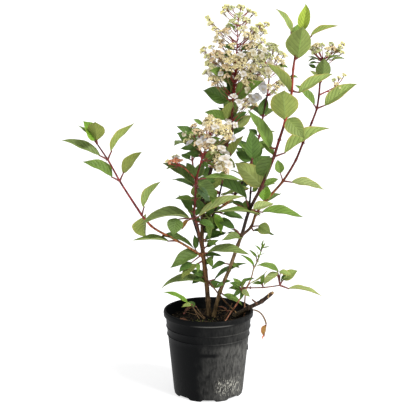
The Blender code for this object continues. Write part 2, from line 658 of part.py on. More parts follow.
def main():
    """Build the whole shrub."""
    clear_scene()
    parts = new_collection(OBJECT_NAME)
    cutters = new_collection("cutters")
    build_pot(parts, cutters)
    build_soil(parts)
    limbs = build_limbs(parts, cutters)
    build_masses(parts, cutters, limbs)


main()
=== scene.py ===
"""The finish of a potted panicle hydrangea: pot, soil, stems, leaves and flower heads.

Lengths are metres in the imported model's own frame: +Z is up, -Y is the front, and the origin is the
centre of the pot's flat underside. Tables of plant parts are in millimetres and degrees where they say so.
"""
import math
import random
from collections import namedtuple

import bmesh
import bpy
import numpy as np
from mathutils import Matrix, Vector, noise


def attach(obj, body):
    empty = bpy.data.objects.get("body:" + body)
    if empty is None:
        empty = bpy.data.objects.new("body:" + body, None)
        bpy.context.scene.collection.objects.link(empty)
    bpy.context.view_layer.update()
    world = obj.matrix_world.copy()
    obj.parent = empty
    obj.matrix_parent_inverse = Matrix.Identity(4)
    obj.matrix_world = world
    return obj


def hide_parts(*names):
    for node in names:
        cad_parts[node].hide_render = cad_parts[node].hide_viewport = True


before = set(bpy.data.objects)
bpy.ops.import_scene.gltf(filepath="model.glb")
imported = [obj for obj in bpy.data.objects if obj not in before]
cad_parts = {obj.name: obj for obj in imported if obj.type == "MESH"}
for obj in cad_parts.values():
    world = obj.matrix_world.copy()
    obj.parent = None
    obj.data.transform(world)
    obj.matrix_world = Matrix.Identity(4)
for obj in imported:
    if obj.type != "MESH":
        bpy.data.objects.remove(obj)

bl_info = {
    "name": "Potted Panicle Hydrangea",
    "version": (1, 0, 0),
    "blender": (4, 5, 0),
    "location": "3D View > Sidebar > Shrub",
    "description": "Grows the pot, stems, leaves and flower heads of a young hydrangea shrub",
    "category": "Object",
}

BODY = "root"
MM = 0.001
UP = Vector((0.0, 0.0, 1.0))
GOLDEN_ANGLE = math.pi * (3.0 - math.sqrt(5.0))
MERGE_DISTANCE = 0.00001
SPOT = "spot"

# The start of each seeded part's random draws.
SEEDS = {"soil": 41, "leaves": 100, "head leaves": 77, "blooms": 300, "litter": 5, "pot leaves": 6}

# A leaf's blade: where its mesh is cut across and along, how many veins it has on each side, how far they
# sweep forward as a part of it, the depth of its teeth, the place of its greatest breadth, the length from
# which its relief is full, how many waves run along its edges and how broad its middle rib is.
BLADE_COLUMNS = (-1.0, -0.97, -0.64, -0.32, -0.028, 0.028, 0.32, 0.64, 0.97, 1.0)
BLADE_ROWS = 18
VEINS = 7.0
VEIN_SWEEP = 0.30
TEETH = 0.02
WIDEST = 0.38
FULL_LENGTH = 0.08
EDGE_WAVES = 2.3
RIB_BREADTH = 0.09

# The first finishes of every leaf piece, before those of its tones.
BUD_SLOT = 0
STALK_SLOT = 1

# A stem: how far a rooted foot goes into the soil, how much wider it flares there and how far up that
# reaches, and how long the swelling at a knot is.
ROOT_DEPTH = 0.004
FLARE = 0.55
FLARE_LENGTH = 0.011
SWELLING_LENGTH = 0.0042

# The front view: how far off, how high and how far aside the eye is, in metres, how far down it looks,
# and the picture's size and focal length, in pixels.
EYE_DISTANCE = 2.7
EYE_HEIGHT = 1.019
EYE_OFFSET = -0.001
EYE_TILT = math.radians(11.67)
VIEW_PIXELS = 416
FOCUS_PIXELS = 1147.4


def seen_place(across, down, depth):
    """Return the place, in metres, that the front view shows at a pixel and a depth."""
    middle = VIEW_PIXELS / 2.0
    right = (across - middle) / FOCUS_PIXELS
    rise = (middle - down) / FOCUS_PIXELS
    reach = (EYE_DISTANCE + depth) / (math.cos(EYE_TILT) + rise * math.sin(EYE_TILT))
    height = EYE_HEIGHT + reach * (rise * math.cos(EYE_TILT) - math.sin(EYE_TILT))
    return EYE_OFFSET + reach * right, depth, height


def seen_size(pixels, depth):
    """Return the size, in metres, of what the front view shows so many pixels broad at a depth."""
    return pixels * (EYE_DISTANCE + depth) / FOCUS_PIXELS


def seen(across, down, depth):
    """Return the place, to the millimetre, that the front view shows at a pixel and a depth."""
    return tuple(round(value, 3) for value in seen_place(across, down, depth))


def tint(red, green, blue):
    """Return the linear colour that shows as these display levels, each from 0 to 255."""
    levels = (red / 255.0, green / 255.0, blue / 255.0)
    return tuple(((level + 0.055) / 1.055) ** 2.4 if level > 0.04 else level / 12.92 for level in levels)


# ---------------------------------------------------------------------------------------------
# The plant's design
# ---------------------------------------------------------------------------------------------

# The pot and its soil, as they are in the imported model.
POT_HEIGHT = 0.209
RIM_RADIUS = 0.110
RIM_DEPTH = 0.014
NECK_RADIUS = 0.1035
NECK_DEPTH = 0.026
RING_DEPTHS = (0.040, 0.060)
FOOT_RADIUS = 0.0852
WALL = 0.0022
SOIL_TOP = 0.182

# A shoot's foot and tip are its radii there, and its route runs through every knot, all in metres. Its
# colours are given by height: mostly the bark's own colours, but the near-black bands where a stem runs
# deep inside the foliage are partly painted shade. Grain is the depth of its bark's relief in millimetres.
Shoot = namedtuple("Shoot", "foot tip rooted grain slot colours route")

SHOOTS = {
    "stem_left": Shoot(0.0062, 0.0022, True, 0.55, "brown_bark", (
        (0.18, tint(112, 94, 66)), (0.24, tint(92, 70, 46)), (0.30, tint(118, 82, 50)),
        (0.36, tint(118, 78, 46)), (0.40, tint(92, 68, 38)), (0.43, tint(78, 54, 32)),
        (0.50, tint(38, 28, 20)), (0.63, tint(84, 52, 34)), (0.70, tint(132, 60, 48)),
        (0.745, tint(172, 76, 64)), (0.84, tint(196, 78, 66))), (
        (0.001, 0.020, SOIL_TOP), seen(208, 300, 0.015), seen(205, 270, 0.005), seen(203, 254, 0.0),
        seen(202, 240, 0.0), seen(203, 222, 0.010), seen(202, 203, 0.015), seen(208, 180, 0.020),
        seen(213, 165, 0.020), seen(220, 152, 0.020), seen(231, 136, 0.020), seen(232, 120, 0.020),
        seen(233, 100, 0.020), seen(235, 80, 0.020), (0.067, 0.020, 0.835))),
    "stem_right": Shoot(0.0050, 0.0023, True, 0.45, "red_bark", (
        (0.18, tint(120, 100, 70)), (0.26, tint(116, 92, 58)), (0.32, tint(148, 120, 86)),
        (0.37, tint(112, 86, 56)), (0.41, tint(54, 38, 26)), (0.48, tint(54, 34, 24)),
        (0.55, tint(98, 42, 30)), (0.60, tint(112, 38, 34)), (0.665, tint(104, 36, 32)),
        (0.685, tint(210, 84, 64)), (0.72, tint(186, 78, 58)), (0.80, tint(180, 74, 58)),
        (0.84, tint(90, 36, 28))), (
        (0.012, 0.010, SOIL_TOP), seen(220, 292, 0.005), seen(229, 270, -0.005), seen(238, 245, -0.010),
        seen(241.4, 236, -0.015), seen(249, 210.5, -0.025), seen(260, 190, -0.045), seen(274, 157, -0.070),
        seen(279, 140, -0.080), seen(285, 122, -0.090), seen(291.7, 91, -0.100), seen(293, 69, -0.105),
        seen(296, 50, -0.105))),
    "shoot_low_bloom": Shoot(0.0038, 0.0019, False, 0.2, "red_bark", (
        (0.35, tint(84, 52, 32)), (0.39, tint(92, 58, 34)), (0.43, tint(96, 46, 32)),
        (0.50, tint(108, 40, 32)), (0.60, tint(120, 38, 32))), (
        seen(203, 254, 0.0), seen(200, 240, -0.020), seen(197, 225, -0.035), seen(194.5, 218.5, -0.045),
        seen(195, 200, -0.065), seen(196.5, 179.5, -0.085), seen(202, 159, -0.105))),
    "twig_side_bloom": Shoot(0.0015, 0.0012, False, 0.1, "red_bark", (
        (0.54, tint(150, 60, 52)), (0.60, tint(196, 110, 84))), (
        seen(196.5, 179.5, -0.085), (-0.059, -0.097, 0.578), (-0.074, -0.100, 0.587))),
    "bough_left_lower": Shoot(0.0030, 0.0026, False, 0.25, "red_bark", (
        (0.335, tint(124, 78, 48)), (0.38, tint(182, 118, 70)), (0.42, tint(200, 108, 76)),
        (0.45, tint(130, 50, 46))), (
        (-0.010, 0.003, 0.335), (-0.028, -0.005, 0.352), seen(177.3, 240.8, -0.015), seen(151, 226, -0.025),
        seen(142, 215.5, -0.030))),
    "bough_left_upper": Shoot(0.0029, 0.0018, False, 0.15, "red_bark", (
        (0.449, tint(134, 50, 54)), (0.54, tint(152, 62, 62)), (0.60, tint(120, 44, 50)),
        (0.62, tint(74, 32, 36))), (
        seen(142, 215.5, -0.030), seen(120, 181.4, -0.035), seen(107.8, 159.7, -0.040),
        seen(97.4, 144.4, -0.040))),
    "stub_dead": Shoot(0.0036, 0.0020, False, 0.5, "dead_wood", (
        (0.36, tint(54, 42, 28)), (0.42, tint(40, 32, 24)), (0.48, tint(30, 26, 22))), (
        (-0.014, 0.0, 0.360), (-0.024, 0.012, 0.390), seen(192.6, 218.4, 0.030), seen(188.8, 207.6, 0.040),
        seen(184.3, 196.8, 0.055))),
    "shoot_back": Shoot(0.0030, 0.0018, False, 0.2, "red_bark", (
        (0.38, tint(66, 46, 30)), (0.46, tint(46, 34, 24)), (0.50, tint(112, 60, 44)),
        (0.62, tint(140, 56, 48))), (
        (-0.016, 0.0, 0.384), (-0.018, 0.040, 0.440), (-0.030, 0.090, 0.495), (-0.040, 0.130, 0.555),
        (-0.046, 0.158, 0.615))),
    "shoot_centre": Shoot(0.0030, 0.0018, False, 0.25, "red_bark", (
        (0.425, tint(96, 64, 36)), (0.455, tint(176, 112, 58)), (0.475, tint(96, 60, 36)),
        (0.50, tint(46, 34, 26)), (0.57, tint(84, 38, 32)), (0.63, tint(116, 40, 44)),
        (0.68, tint(76, 30, 30)), (0.78, tint(64, 26, 28))), (
        seen(203, 222, 0.010), seen(213, 212.5, 0.025), seen(225, 204.6, 0.045), seen(236, 193, 0.065),
        seen(244.4, 177.5, 0.085), seen(252, 159.4, 0.105), seen(259, 136.6, 0.125), seen(263, 116.5, 0.140),
        seen(267, 96, 0.150), (0.153, 0.155, 0.782))),
    "shoot_inner": Shoot(0.0026, 0.0018, False, 0.25, "brown_bark", (
        (0.41, tint(62, 46, 28)), (0.54, tint(34, 28, 24))), (
        (-0.013, 0.008, 0.412), seen(212, 216.5, 0.0), seen(220, 193, -0.030), seen(222.6, 181.5, -0.040))),
    "bough_right_outer": Shoot(0.0034, 0.0021, False, 0.2, "red_bark", (
        (0.396, tint(70, 48, 32)), (0.43, tint(120, 82, 50)), (0.47, tint(156, 92, 54)),
        (0.50, tint(124, 72, 42)), (0.54, tint(100, 40, 26)), (0.58, tint(88, 26, 22)),
        (0.68, tint(98, 26, 26)), (0.75, tint(108, 38, 36)), (0.81, tint(86, 40, 34))), (
        seen(241.4, 236, -0.015), seen(251, 227, 0.0), seen(255.4, 215, 0.015), seen(264, 203, 0.035),
        seen(283, 181, 0.055), seen(296, 160, 0.070), seen(303, 143, 0.080), seen(312, 122, 0.090),
        seen(317, 108.5, 0.095), seen(319, 95, 0.100), seen(320, 82, 0.100), (0.278, 0.100, 0.814))),
    "shoot_right_short": Shoot(0.0027, 0.0018, False, 0.25, "red_bark", (
        (0.46, tint(34, 26, 20)), (0.56, tint(50, 32, 26))), (
        seen(249, 210.5, -0.025), (0.101, 0.0, 0.500), seen(252, 165, 0.030))),
    "shoot_low_right": Shoot(0.0018, 0.0015, True, 0.2, "red_bark", (
        (0.18, tint(90, 66, 46)), (0.21, tint(134, 92, 62)), (0.232, tint(190, 122, 92)),
        (0.248, tint(208, 138, 110)), (0.27, tint(132, 76, 50)), (0.30, tint(160, 104, 78))), (
        (0.040, -0.012, SOIL_TOP), seen(238, 302.3, -0.035), seen(241.4, 296, -0.040),
        seen(242, 288, -0.045), seen(250, 288, -0.055), seen(263.2, 287.4, -0.070),
        seen(279.7, 285.5, -0.080))),
    "shoot_crossing": Shoot(0.0022, 0.0016, True, 0.3, "brown_bark", (
        (0.18, tint(140, 112, 78)), (0.24, tint(116, 84, 54)), (0.30, tint(84, 56, 34))), (
        (0.074, 0.036, SOIL_TOP), (0.028, -0.018, 0.248), (0.006, -0.026, 0.279), (-0.006, -0.032, 0.296))),
    "stub_cut": Shoot(0.0056, 0.0046, True, 0.8, "cut_wood", (
        (0.18, tint(112, 98, 74)), (0.22, tint(84, 68, 54)), (0.255, tint(72, 54, 46)),
        (0.266, tint(150, 112, 78))), (
        (0.068, 0.032, SOIL_TOP), (0.100, -0.020, 0.219), (0.129, -0.035, 0.239), (0.153, -0.050, 0.264))),
    "seedling_stem": Shoot(0.0019, 0.0015, True, 0.05, "green_stem", (
        (0.18, tint(150, 110, 84)), (0.28, tint(186, 140, 104)), (0.33, tint(150, 170, 90)),
        (0.36, tint(120, 160, 60))), (
        (0.088, 0.022, SOIL_TOP), seen(247, 287, 0.030), seen(251, 278.6, 0.030), seen(254, 268, 0.030),
        seen(257.5, 261.7, 0.030), seen(261, 251, 0.030), seen(262.4, 245.7, 0.030))),
}

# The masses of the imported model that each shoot's leaves stand for.
MASSES = {
    "bough_left_upper": ("foliage_left_tip", "foliage_left_upper", "foliage_left_middle",
                         "foliage_left_bend"),
    "bough_left_lower": ("foliage_left_low",),
    "shoot_low_bloom": ("foliage_front", "foliage_under_low_bloom"),
    "shoot_inner": ("foliage_inner",),
    "stem_left": ("foliage_heart", "foliage_stem_middle", "foliage_stem_high", "foliage_under_tall_bloom",
                  "foliage_stem_low", "foliage_stem_foot"),
    "stem_right": ("foliage_right_foot", "foliage_right_fork", "foliage_right_inner_low",
                   "foliage_right_inner_middle", "foliage_right_inner_upper", "foliage_right_inner_high",
                   "foliage_right_top"),
    "shoot_right_short": ("foliage_right_short",),
    "bough_right_outer": ("foliage_right_low", "foliage_outer_low", "foliage_outer_middle",
                          "foliage_outer_upper"),
    "shoot_centre": ("foliage_centre_low", "foliage_centre_middle", "foliage_centre_upper"),
    "shoot_back": ("foliage_back_low", "foliage_back_high"),
    "shoot_low_right": ("foliage_low_shoot", "foliage_low_sprouts"),
    "seedling_stem": ("foliage_seedling",),
}

# A leaf hangs on a knot of its shoot by a stalk. Headings are directions in the XZ plane, in degrees
# up from +X. Lean is how far it comes forward, and turn rolls its upper face towards the front.
# Stalk and length are in millimetres. Curl is how far the blade arches from base to tip.
Leaf = namedtuple("Leaf", "knot stalk swing heading lean length turn tone curl breadth")
Leaf.__new__.__defaults__ = (26, 0.52)
# A seen leaf is given as the front view shows it: the pixels of its base and tip, its breadth in pixels,
# and 1 where its upper face shows or -1 where its under face does.
SeenLeaf = namedtuple("SeenLeaf", "knot base tip width lean shows tone curl breadth")
SeenLeaf.__new__.__defaults__ = (26, 0.52)

LEAVES = {
    "bough_left_upper": (
        SeenLeaf(3, (96, 141), (84, 121), 15, 10, 1, "bright", 20, 0.9),
        Leaf(3, 10, 95, 88, 38, 62, 0, "olive", 16, 0.7),
        SeenLeaf(3, (95, 141), (78, 125), 5, -10, 1, "mid", 30, 0.4),
        Leaf(2, 20, 150, 157, 5, 97, 30, "sage", 14, 0.36),
        Leaf(2, 20, 70, 50, -15, 88, -50, "pale", 34, 0.4),
        SeenLeaf(1, (112.7, 177), (83, 160.4), 11, 10, 1, "mid", 40),
        Leaf(1, 20, 70, 47, -20, 70, -70, "olive", 44), Leaf(0, 20, 80, 57, 10, 80, 50, "fair", 40, 0.46),
        Leaf(0, 5, -55, -85, -30, 66, -55, "pale", 20, 0.84)),
    "bough_left_lower": (
        SeenLeaf(2, (168.4, 240.8), (131.4, 239.5), 4.5, 15, 1, "mid", 20, 0.42),
        SeenLeaf(2.5, (162, 236), (195, 250), 7, -14, 1, "soft", 50, 0.34),
        Leaf(1, 10, 115, 95, -20, 35, -25, "dark")),
    "shoot_low_bloom": (
        SeenLeaf(3, (190.7, 219), (140.3, 226.8), 10, 10, 1, "sage", 60, 0.48),
        Leaf(3, 45, 175, -100, 25, 42, 25, "soft", 20, 0.95),
        SeenLeaf(3, (199, 216), (246, 197), 8, 5, 1, "light", 24, 0.36),
        Leaf(4.7, 5, 150, 145, 0, 90, 20, "soft", 20, 0.6),
        SeenLeaf(5, (196, 178), (187, 163), 16, -30, 1, "soft"),
        SeenLeaf(4, (194, 200), (175.4, 199.3), 5, -10, 1, "mid", 40, 0.4),
        Leaf(4.8, 10, -70, -45, 20, 45, 45, "blue"), Leaf(6, 10, 90, 160, -10, 45, 35, "dark"),
        SeenLeaf(6, (203, 156), (216, 151), 8, -20, 1, "dark"), Leaf(6, 30, 110, 150, -20, 60, 50, "dark"),
        Leaf(5, 5, 45, 70, -20, 42, 15, "soft", 20, 0.66),
        SeenLeaf(5, (204, 178), (244, 182), 5, -5, 1, "mid", 16, 0.3),
        Leaf(3, 15, -175, -125, 20, 30, 25, "dry", 30, 0.4), Leaf(3.3, 10, 160, 130, -20, 50, 20, "dark"),
        Leaf(4.4, 10, 40, 20, -30, 50, 30, "dark"),
        SeenLeaf(5, (197, 184), (217, 198), 13, -25, 1, "soft", 24, 0.6),
        Leaf(2.4, 8, 20, -20, 10, 40, 40, "dark")),
    "shoot_inner": (
        SeenLeaf(2, (214, 188), (213, 204), 12, 30, 1, "mid"), Leaf(1, 10, 55, -70, 20, 50, 5, "bright", 30),
        Leaf(1, 3, 105, -95, 20, 60, -20, "mid", 30, 0.34), Leaf(2.8, 8, 80, 75, 35, 40, 0, "dark"),
        SeenLeaf(3, (221, 178), (212, 192), 8, 10, 1, "olive", 20, 0.5),
        SeenLeaf(1, (217, 219), (234, 227.5), 7, 10, 1, "dark")),
    "stem_left": (
        SeenLeaf(3, (198.5, 252.4), (169.5, 268.4), 14, 15, 1, "soft", 36),
        SeenLeaf(3, (192, 262), (179, 272.8), 8, 25, 1, "dark"),
        SeenLeaf(2.6, (196, 264), (180, 279.5), 8, 30, 1, "olive", 30, 0.5),
        Leaf(2.6, 17, -165, -90, 30, 25, -30, "mid"), Leaf(1.5, 5, 70, -177, 12, 114, 12, "sage", 56, 0.4),
        Leaf(1.8, 10, -170, -150, 20, 30, 45, "dark"), Leaf(3, 10, 20, 2, 18, 108, 15, "sage", 44, 0.38),
        Leaf(3.2, 20, 60, 0, 15, 20, 25, "dark"), Leaf(2.1, 10, 75, 50, -10, 30, 55, "mid"),
        Leaf(1.6, 20, 20, 30, 10, 95, 10, "dark", 30, 0.36),
        Leaf(9.6, 35, -75, 60, 10, 62, -35, "olive", 24),
        Leaf(12, 10, 180, 160, 0, 65, 75, "dark", 24, 0.66),
        SeenLeaf(11, (225, 122), (231, 101), 12, 15, -1, "pale", 20, 0.6),
        Leaf(11, 15, 170, 160, 10, 55, 55, "mid", 30),
        SeenLeaf(11, (233, 121), (247, 111), 10, -10, 1, "dark"),
        SeenLeaf(10.5, (237, 127), (251, 115), 9, 10, -1, "light"),
        SeenLeaf(13, (231, 79), (210, 70), 10, 40, 1, "mid", 20, 0.5),
        Leaf(12.4, 10, -145, 105, 20, 60, 75, "dark"), SeenLeaf(13, (238, 78), (257.6, 74), 4, 0, 1, "dark"),
        Leaf(13.7, 5, 160, 160, 0, 30, 35, "dark"), Leaf(13.7, 5, 65, 15, 0, 40, 45, "dark"),
        Leaf(5.6, 5, -60, -60, 20, 52, -25, "mid"), Leaf(5.6, 8, 165, 165, -45, 80, 0, "dark"),
        Leaf(5.6, 8, 20, 20, -55, 80, 0, "dark"), Leaf(9.2, 8, 165, 165, -45, 76, 10, "dark"),
        Leaf(11, 8, 100, 100, -60, 72, 0, "mid"), Leaf(12.1, 8, 150, 150, -65, 72, 0, "dark"),
        SeenLeaf(5.3, (205, 214), (222, 207), 8, 15, 1, "dark"), Leaf(5.6, 5, -45, 125, 10, 40, 75, "dark"),
        Leaf(5.2, 10, 20, -30, 20, 34, 65, "dark"),
        SeenLeaf(3, (204, 256), (222, 257), 4, 10, 1, "dark", 30, 0.4),
        Leaf(4, 10, 5, 15, -20, 55, 25, "dark"), SeenLeaf(4.5, (203, 232), (222, 222), 10, -20, 1, "dark"),
        SeenLeaf(13.2, (229, 75), (209, 70), 8, 10, 1, "mid", 26, 0.5),
        Leaf(12.2, 15, 160, 100, 20, 60, 95, "dark", 20, 0.5),
        Leaf(12.2, 10, -20, 38, 42, 100, 80, "mid", 20, 0.5),
        SeenLeaf(9, (218, 158), (234, 143), 9, -20, 1, "dark"),
        SeenLeaf(8, (214, 170), (226, 160), 9, -20, 1, "dark"),
        SeenLeaf(8.2, (212, 168), (201, 176), 9, -20, 1, "dark"),
        Leaf(9, 15, -70, -40, -20, 45, 90, "olive"), SeenLeaf(3.4, (206, 247), (218, 240), 6, 0, 1, "mid"),
        SeenLeaf(9.8, (228, 140), (216, 146), 8, -15, 1, "dark"), Leaf(3, 15, -30, -65, 20, 28, 40, "mid"),
        Leaf(1.8, 6, 150, 155, 15, 38, 70, "dark"), Leaf(1.6, 10, -35, 20, 20, 30, 65, "dark"),
        Leaf(1.5, 10, 5, 0, 25, 28, 65, "mid"), Leaf(1.6, 3, 15, 145, -15, 28, 45, "mid")),
    "stem_right": (
        SeenLeaf(4, (243, 237), (222, 240), 8, 15, 1, "sage", 34),
        SeenLeaf(4, (235, 228), (219, 222), 7, 5, 1, "dark"),
        SeenLeaf(2.2, (226, 263), (211, 270), 6, 20, 1, "dark", 30, 0.5),
        SeenLeaf(2.4, (230, 262), (241, 268), 5, -10, 1, "mid", 26, 0.4),
        Leaf(1.2, 15, 70, -165, 30, 20, 65, "dark"), Leaf(1.2, 15, 70, 20, 20, 20, 50, "dark"),
        SeenLeaf(1, (222.7, 294.2), (241.8, 304.7), 6, 20, 1, "mid", 40, 0.4),
        SeenLeaf(5, (260.8, 211.5), (303.5, 216.3), 9, 10, 1, "mid", 30, 0.4),
        SeenLeaf(5, (253, 210), (273.6, 204), 8, -30, 1, "light"),
        SeenLeaf(5, (262, 214), (214, 211), 4.5, 10, 1, "mid", 24, 0.3),
        Leaf(5, 45, 155, -35, -20, 50, 45, "dark", 40, 0.4),
        SeenLeaf(5, (247, 199), (201, 178), 12, -15, 1, "dark", 24, 0.46),
        Leaf(7, 5, -160, -105, -35, 95, 108, "soft", 24, 0.54),
        Leaf(6, 10, 55, 140, -10, 85, -90, "light", 50, 0.62),
        SeenLeaf(6, (265, 185), (280.3, 177.7), 7, -20, 1, "mid"),
        Leaf(7.5, 15, -175, 120, -10, 106, 15, "mid", 24, 0.5), Leaf(7, 5, 100, 140, -20, 40, 30, "mid"),
        Leaf(9, 5, 90, 95, 38, 94, -5, "pale", 16, 0.72), Leaf(9, 10, 55, -50, 20, 60, 65, "pale", 24, 0.7),
        SeenLeaf(7, (284.6, 152.7), (331.8, 128.2), 15, 5, 1, "fair", 22, 0.5),
        Leaf(10, 15, -20, 30, 5, 90, 35, "fair", 20, 0.42),
        Leaf(10, 5, -160, 129, 5, 84, -25, "pale", 26, 0.5),
        SeenLeaf(10.5, (289.8, 76.5), (299, 77.7), 3, 0, 1, "mid"),
        Leaf(12, 45, 70, 85, -10, 62, 15, "lime", 16, 0.52),
        SeenLeaf(12, (292, 33), (275, 9), 7, 0, 1, "fair", 22, 0.42),
        Leaf(12, 45, 45, 20, 0, 66, 25, "gold", 24, 0.38), Leaf(11.5, 7, 15, 84, 22, 80, -8, "mid", 16, 0.8),
        Leaf(9, 8, 110, 110, -50, 76, 0, "mid"), Leaf(12, 8, 80, 80, -45, 72, 5, "mid")),
    "shoot_right_short": (
        Leaf(1, 5, 0, 50, -20, 25, 60, "mid"),
        SeenLeaf(2, (252, 159), (249.5, 131), 15, -10, 1, "dark", 20, 0.62),
        SeenLeaf(2, (251, 160), (236, 150), 11, -15, 1, "dark", 24, 0.6),
        Leaf(1.8, 10, 120, 165, -10, 30, 70, "dark"), Leaf(1.8, 8, 30, 30, -50, 72, 0, "dark")),
    "bough_right_outer": (
        Leaf(10, 10, 45, 92, 22, 57, 0, "soft", 16, 0.68), Leaf(1, 20, 15, -35, 20, 35, 65, "pale", 20, 0.9),
        Leaf(1, 10, -70, -10, 10, 55, 20, "soft", 30, 0.34),
        Leaf(4, 20, 110, 100, -20, 35, 20, "mid", 24, 0.7),
        Leaf(4, 20, -5, -12, 10, 82, 25, "light", 26, 0.46),
        SeenLeaf(3, (263.6, 201), (266, 184.4), 14, -30, 1, "bright", 24, 0.74),
        SeenLeaf(8, (314.3, 104.8), (294, 85), 7, -10, 1, "mid", 22, 0.44),
        Leaf(8, 20, 20, 35, 5, 95, 48, "fair", 24, 0.44),
        Leaf(10.6, 15, -175, 155, 0, 20, 70, "dark", 20, 0.5),
        SeenLeaf(10, (318, 76), (309, 70), 4, 0, 1, "light", 20, 0.4),
        Leaf(10, 5, 130, 130, 0, 25, 40, "dark"), Leaf(3, 8, 10, 10, -60, 78, 0, "mid")),
    "shoot_centre": (
        SeenLeaf(7, (262, 116), (266, 97), 14, -20, 1, "dark"), Leaf(3, 8, 20, 20, -55, 80, 0, "dark"),
        Leaf(3, 8, 150, 150, -50, 80, 0, "dark"), Leaf(5.2, 8, 150, 150, -45, 80, 0, "dark"),
        Leaf(5.2, 8, 30, 30, -50, 76, 0, "mid"), Leaf(7, 8, 160, 160, -60, 72, 0, "dark"),
        Leaf(7, 8, 10, 10, -60, 72, 0, "mid"), Leaf(5, 5, -160, 140, -10, 48, 60, "dark"),
        Leaf(5, 5, -25, 55, -15, 38, 50, "dark"),
        SeenLeaf(1, (222, 212), (262, 215), 4, 25, 1, "mid", 30, 0.3),
        SeenLeaf(1.2, (222, 214), (243, 219), 6, -20, 1, "dark", 26, 0.4),
        SeenLeaf(3, (249, 189), (222, 195), 5, 0, 1, "pale", 20, 0.3)),
    "shoot_back": (
        Leaf(2, 8, 172, 172, -45, 80, 0, "dark"), Leaf(2, 8, 15, 15, -40, 80, 0, "dark"),
        Leaf(3.7, 8, 60, 60, -60, 60, 0, "mid"), Leaf(3.7, 8, 10, 10, -45, 70, 0, "mid"),
        Leaf(3.7, 8, -160, -160, -55, 72, 0, "dark")),
    "shoot_low_right": (
        Leaf(6, 20, -20, -10, 10, 82, 5, "light", 30, 0.3), Leaf(6, 35, 95, 160, 10, 55, 30, "mid", 50, 0.4),
        Leaf(6, 35, 100, -140, 20, 46, 20, "light", 40), Leaf(6, 35, 95, -15, 15, 32, 35, "fair", 40),
        Leaf(6, 15, 65, 30, -5, 42, 50, "pale", 24, 0.62), Leaf(6, 10, 75, 60, 20, 24, 40, "dark"),
        Leaf(5, 10, 105, 175, 10, 24, 30, "mid"), Leaf(5, 10, 105, 75, 0, 24, 60, "mid"),
        Leaf(3, 5, -175, 150, 15, 32, 50, "dark"), Leaf(3, 5, 120, 135, -5, 28, 55, "mid"),
        Leaf(3, 5, 95, 60, 10, 24, 60, "mid"), Leaf(3, 5, -155, 175, 10, 30, 35, "dark"),
        Leaf(3, 5, -135, -145, 20, 26, 60, "dark"), Leaf(3.5, 10, -160, -40, 25, 26, 60, "light"),
        Leaf(3, 10, 105, 20, -10, 36, 10, "dark"), Leaf(2.6, 6, 60, 80, 20, 24, 40, "mid"),
        Leaf(2.8, 6, 170, 160, 20, 24, 60, "mid"), Leaf(3, 6, -100, -100, 30, 24, 40, "dark")),
    "seedling_stem": (
        Leaf(3, 5, 90, 140, 5, 46, 50, "bright", 60, 0.24),
        Leaf(3.2, 0, 5, 3, -10, 44, 10, "light", 30, 0.08), Leaf(4, 10, 95, 135, 5, 30, 60, "mid", 30, 0.26),
        Leaf(4.6, 0, 15, 15, 0, 15, 20, "mid", 20, 0.2), Leaf(5, 2, 135, 135, 10, 20, 60, "bright", 20, 0.3),
        Leaf(5, 2, 65, 65, 10, 20, 60, "bright", 20, 0.4),
        Leaf(4.4, 2, 160, 100, 20, 18, 60, "bright", 20, 0.4),
        Leaf(5.5, 3, 30, 10, 5, 18, 60, "mid", 20, 0.2),
        Leaf(5.4, 0, 60, 60, -10, 18, 50, "bright", 20, 0.3),
        Leaf(5.8, 0, 80, 80, 0, 18, 40, "bright", 16, 0.34),
        Leaf(4.2, 0, 60, 70, 20, 18, 50, "bright", 16, 0.3),
        Leaf(1, 10, 60, 40, 0, 60, 25, "light", -50, 0.1)),
}

# A leaf's tone names its upper, under and edge finishes.
Tone = namedtuple("Tone", "upper under edge")
TONES = {
    "bright": Tone(tint(114, 152, 50), tint(136, 154, 72), tint(160, 178, 76)),
    "lime": Tone(tint(158, 178, 66), tint(160, 176, 80), tint(180, 188, 80)),
    "fair": Tone(tint(154, 174, 96), tint(158, 172, 96), tint(204, 166, 84)),
    "mid": Tone(tint(112, 140, 61), tint(130, 146, 76), tint(146, 156, 80)),
    "sage": Tone(tint(119, 137, 76), tint(130, 144, 82), tint(148, 156, 88)),
    "soft": Tone(tint(98, 121, 59), tint(118, 136, 74), tint(116, 132, 66)),
    "light": Tone(tint(156, 170, 104), tint(154, 166, 94), tint(190, 168, 84)),
    "pale": Tone(tint(134, 152, 80), tint(148, 162, 84), tint(178, 162, 80)),
    "gold": Tone(tint(144, 160, 82), tint(148, 162, 84), tint(206, 156, 74)),
    "olive": Tone(tint(118, 130, 62), tint(132, 142, 70), tint(150, 148, 72)),
    "dark": Tone(tint(82, 111, 47), tint(106, 124, 64), tint(96, 118, 56)),
    "blue": Tone(tint(80, 104, 66), tint(112, 128, 82), tint(108, 128, 82)),
    "dry": Tone(tint(150, 112, 56), tint(158, 118, 64), tint(196, 96, 56)),
    "brown": Tone(tint(92, 60, 42), tint(104, 70, 50), tint(120, 76, 50)),
    "rust": Tone(tint(222, 124, 92), tint(222, 130, 100), tint(228, 140, 110)),
}

# Small leaves that grow in the crooks of the knots, seeded, on these shoots between these knots.
CROOKS = {
    "stem_left": (4, 12, 3), "stem_right": (4, 7, 2), "shoot_back": (1, 4, 3), "shoot_centre": (2, 7, 3),
    "shoot_low_bloom": (2, 5, 2), "shoot_inner": (1, 3, 2),
}

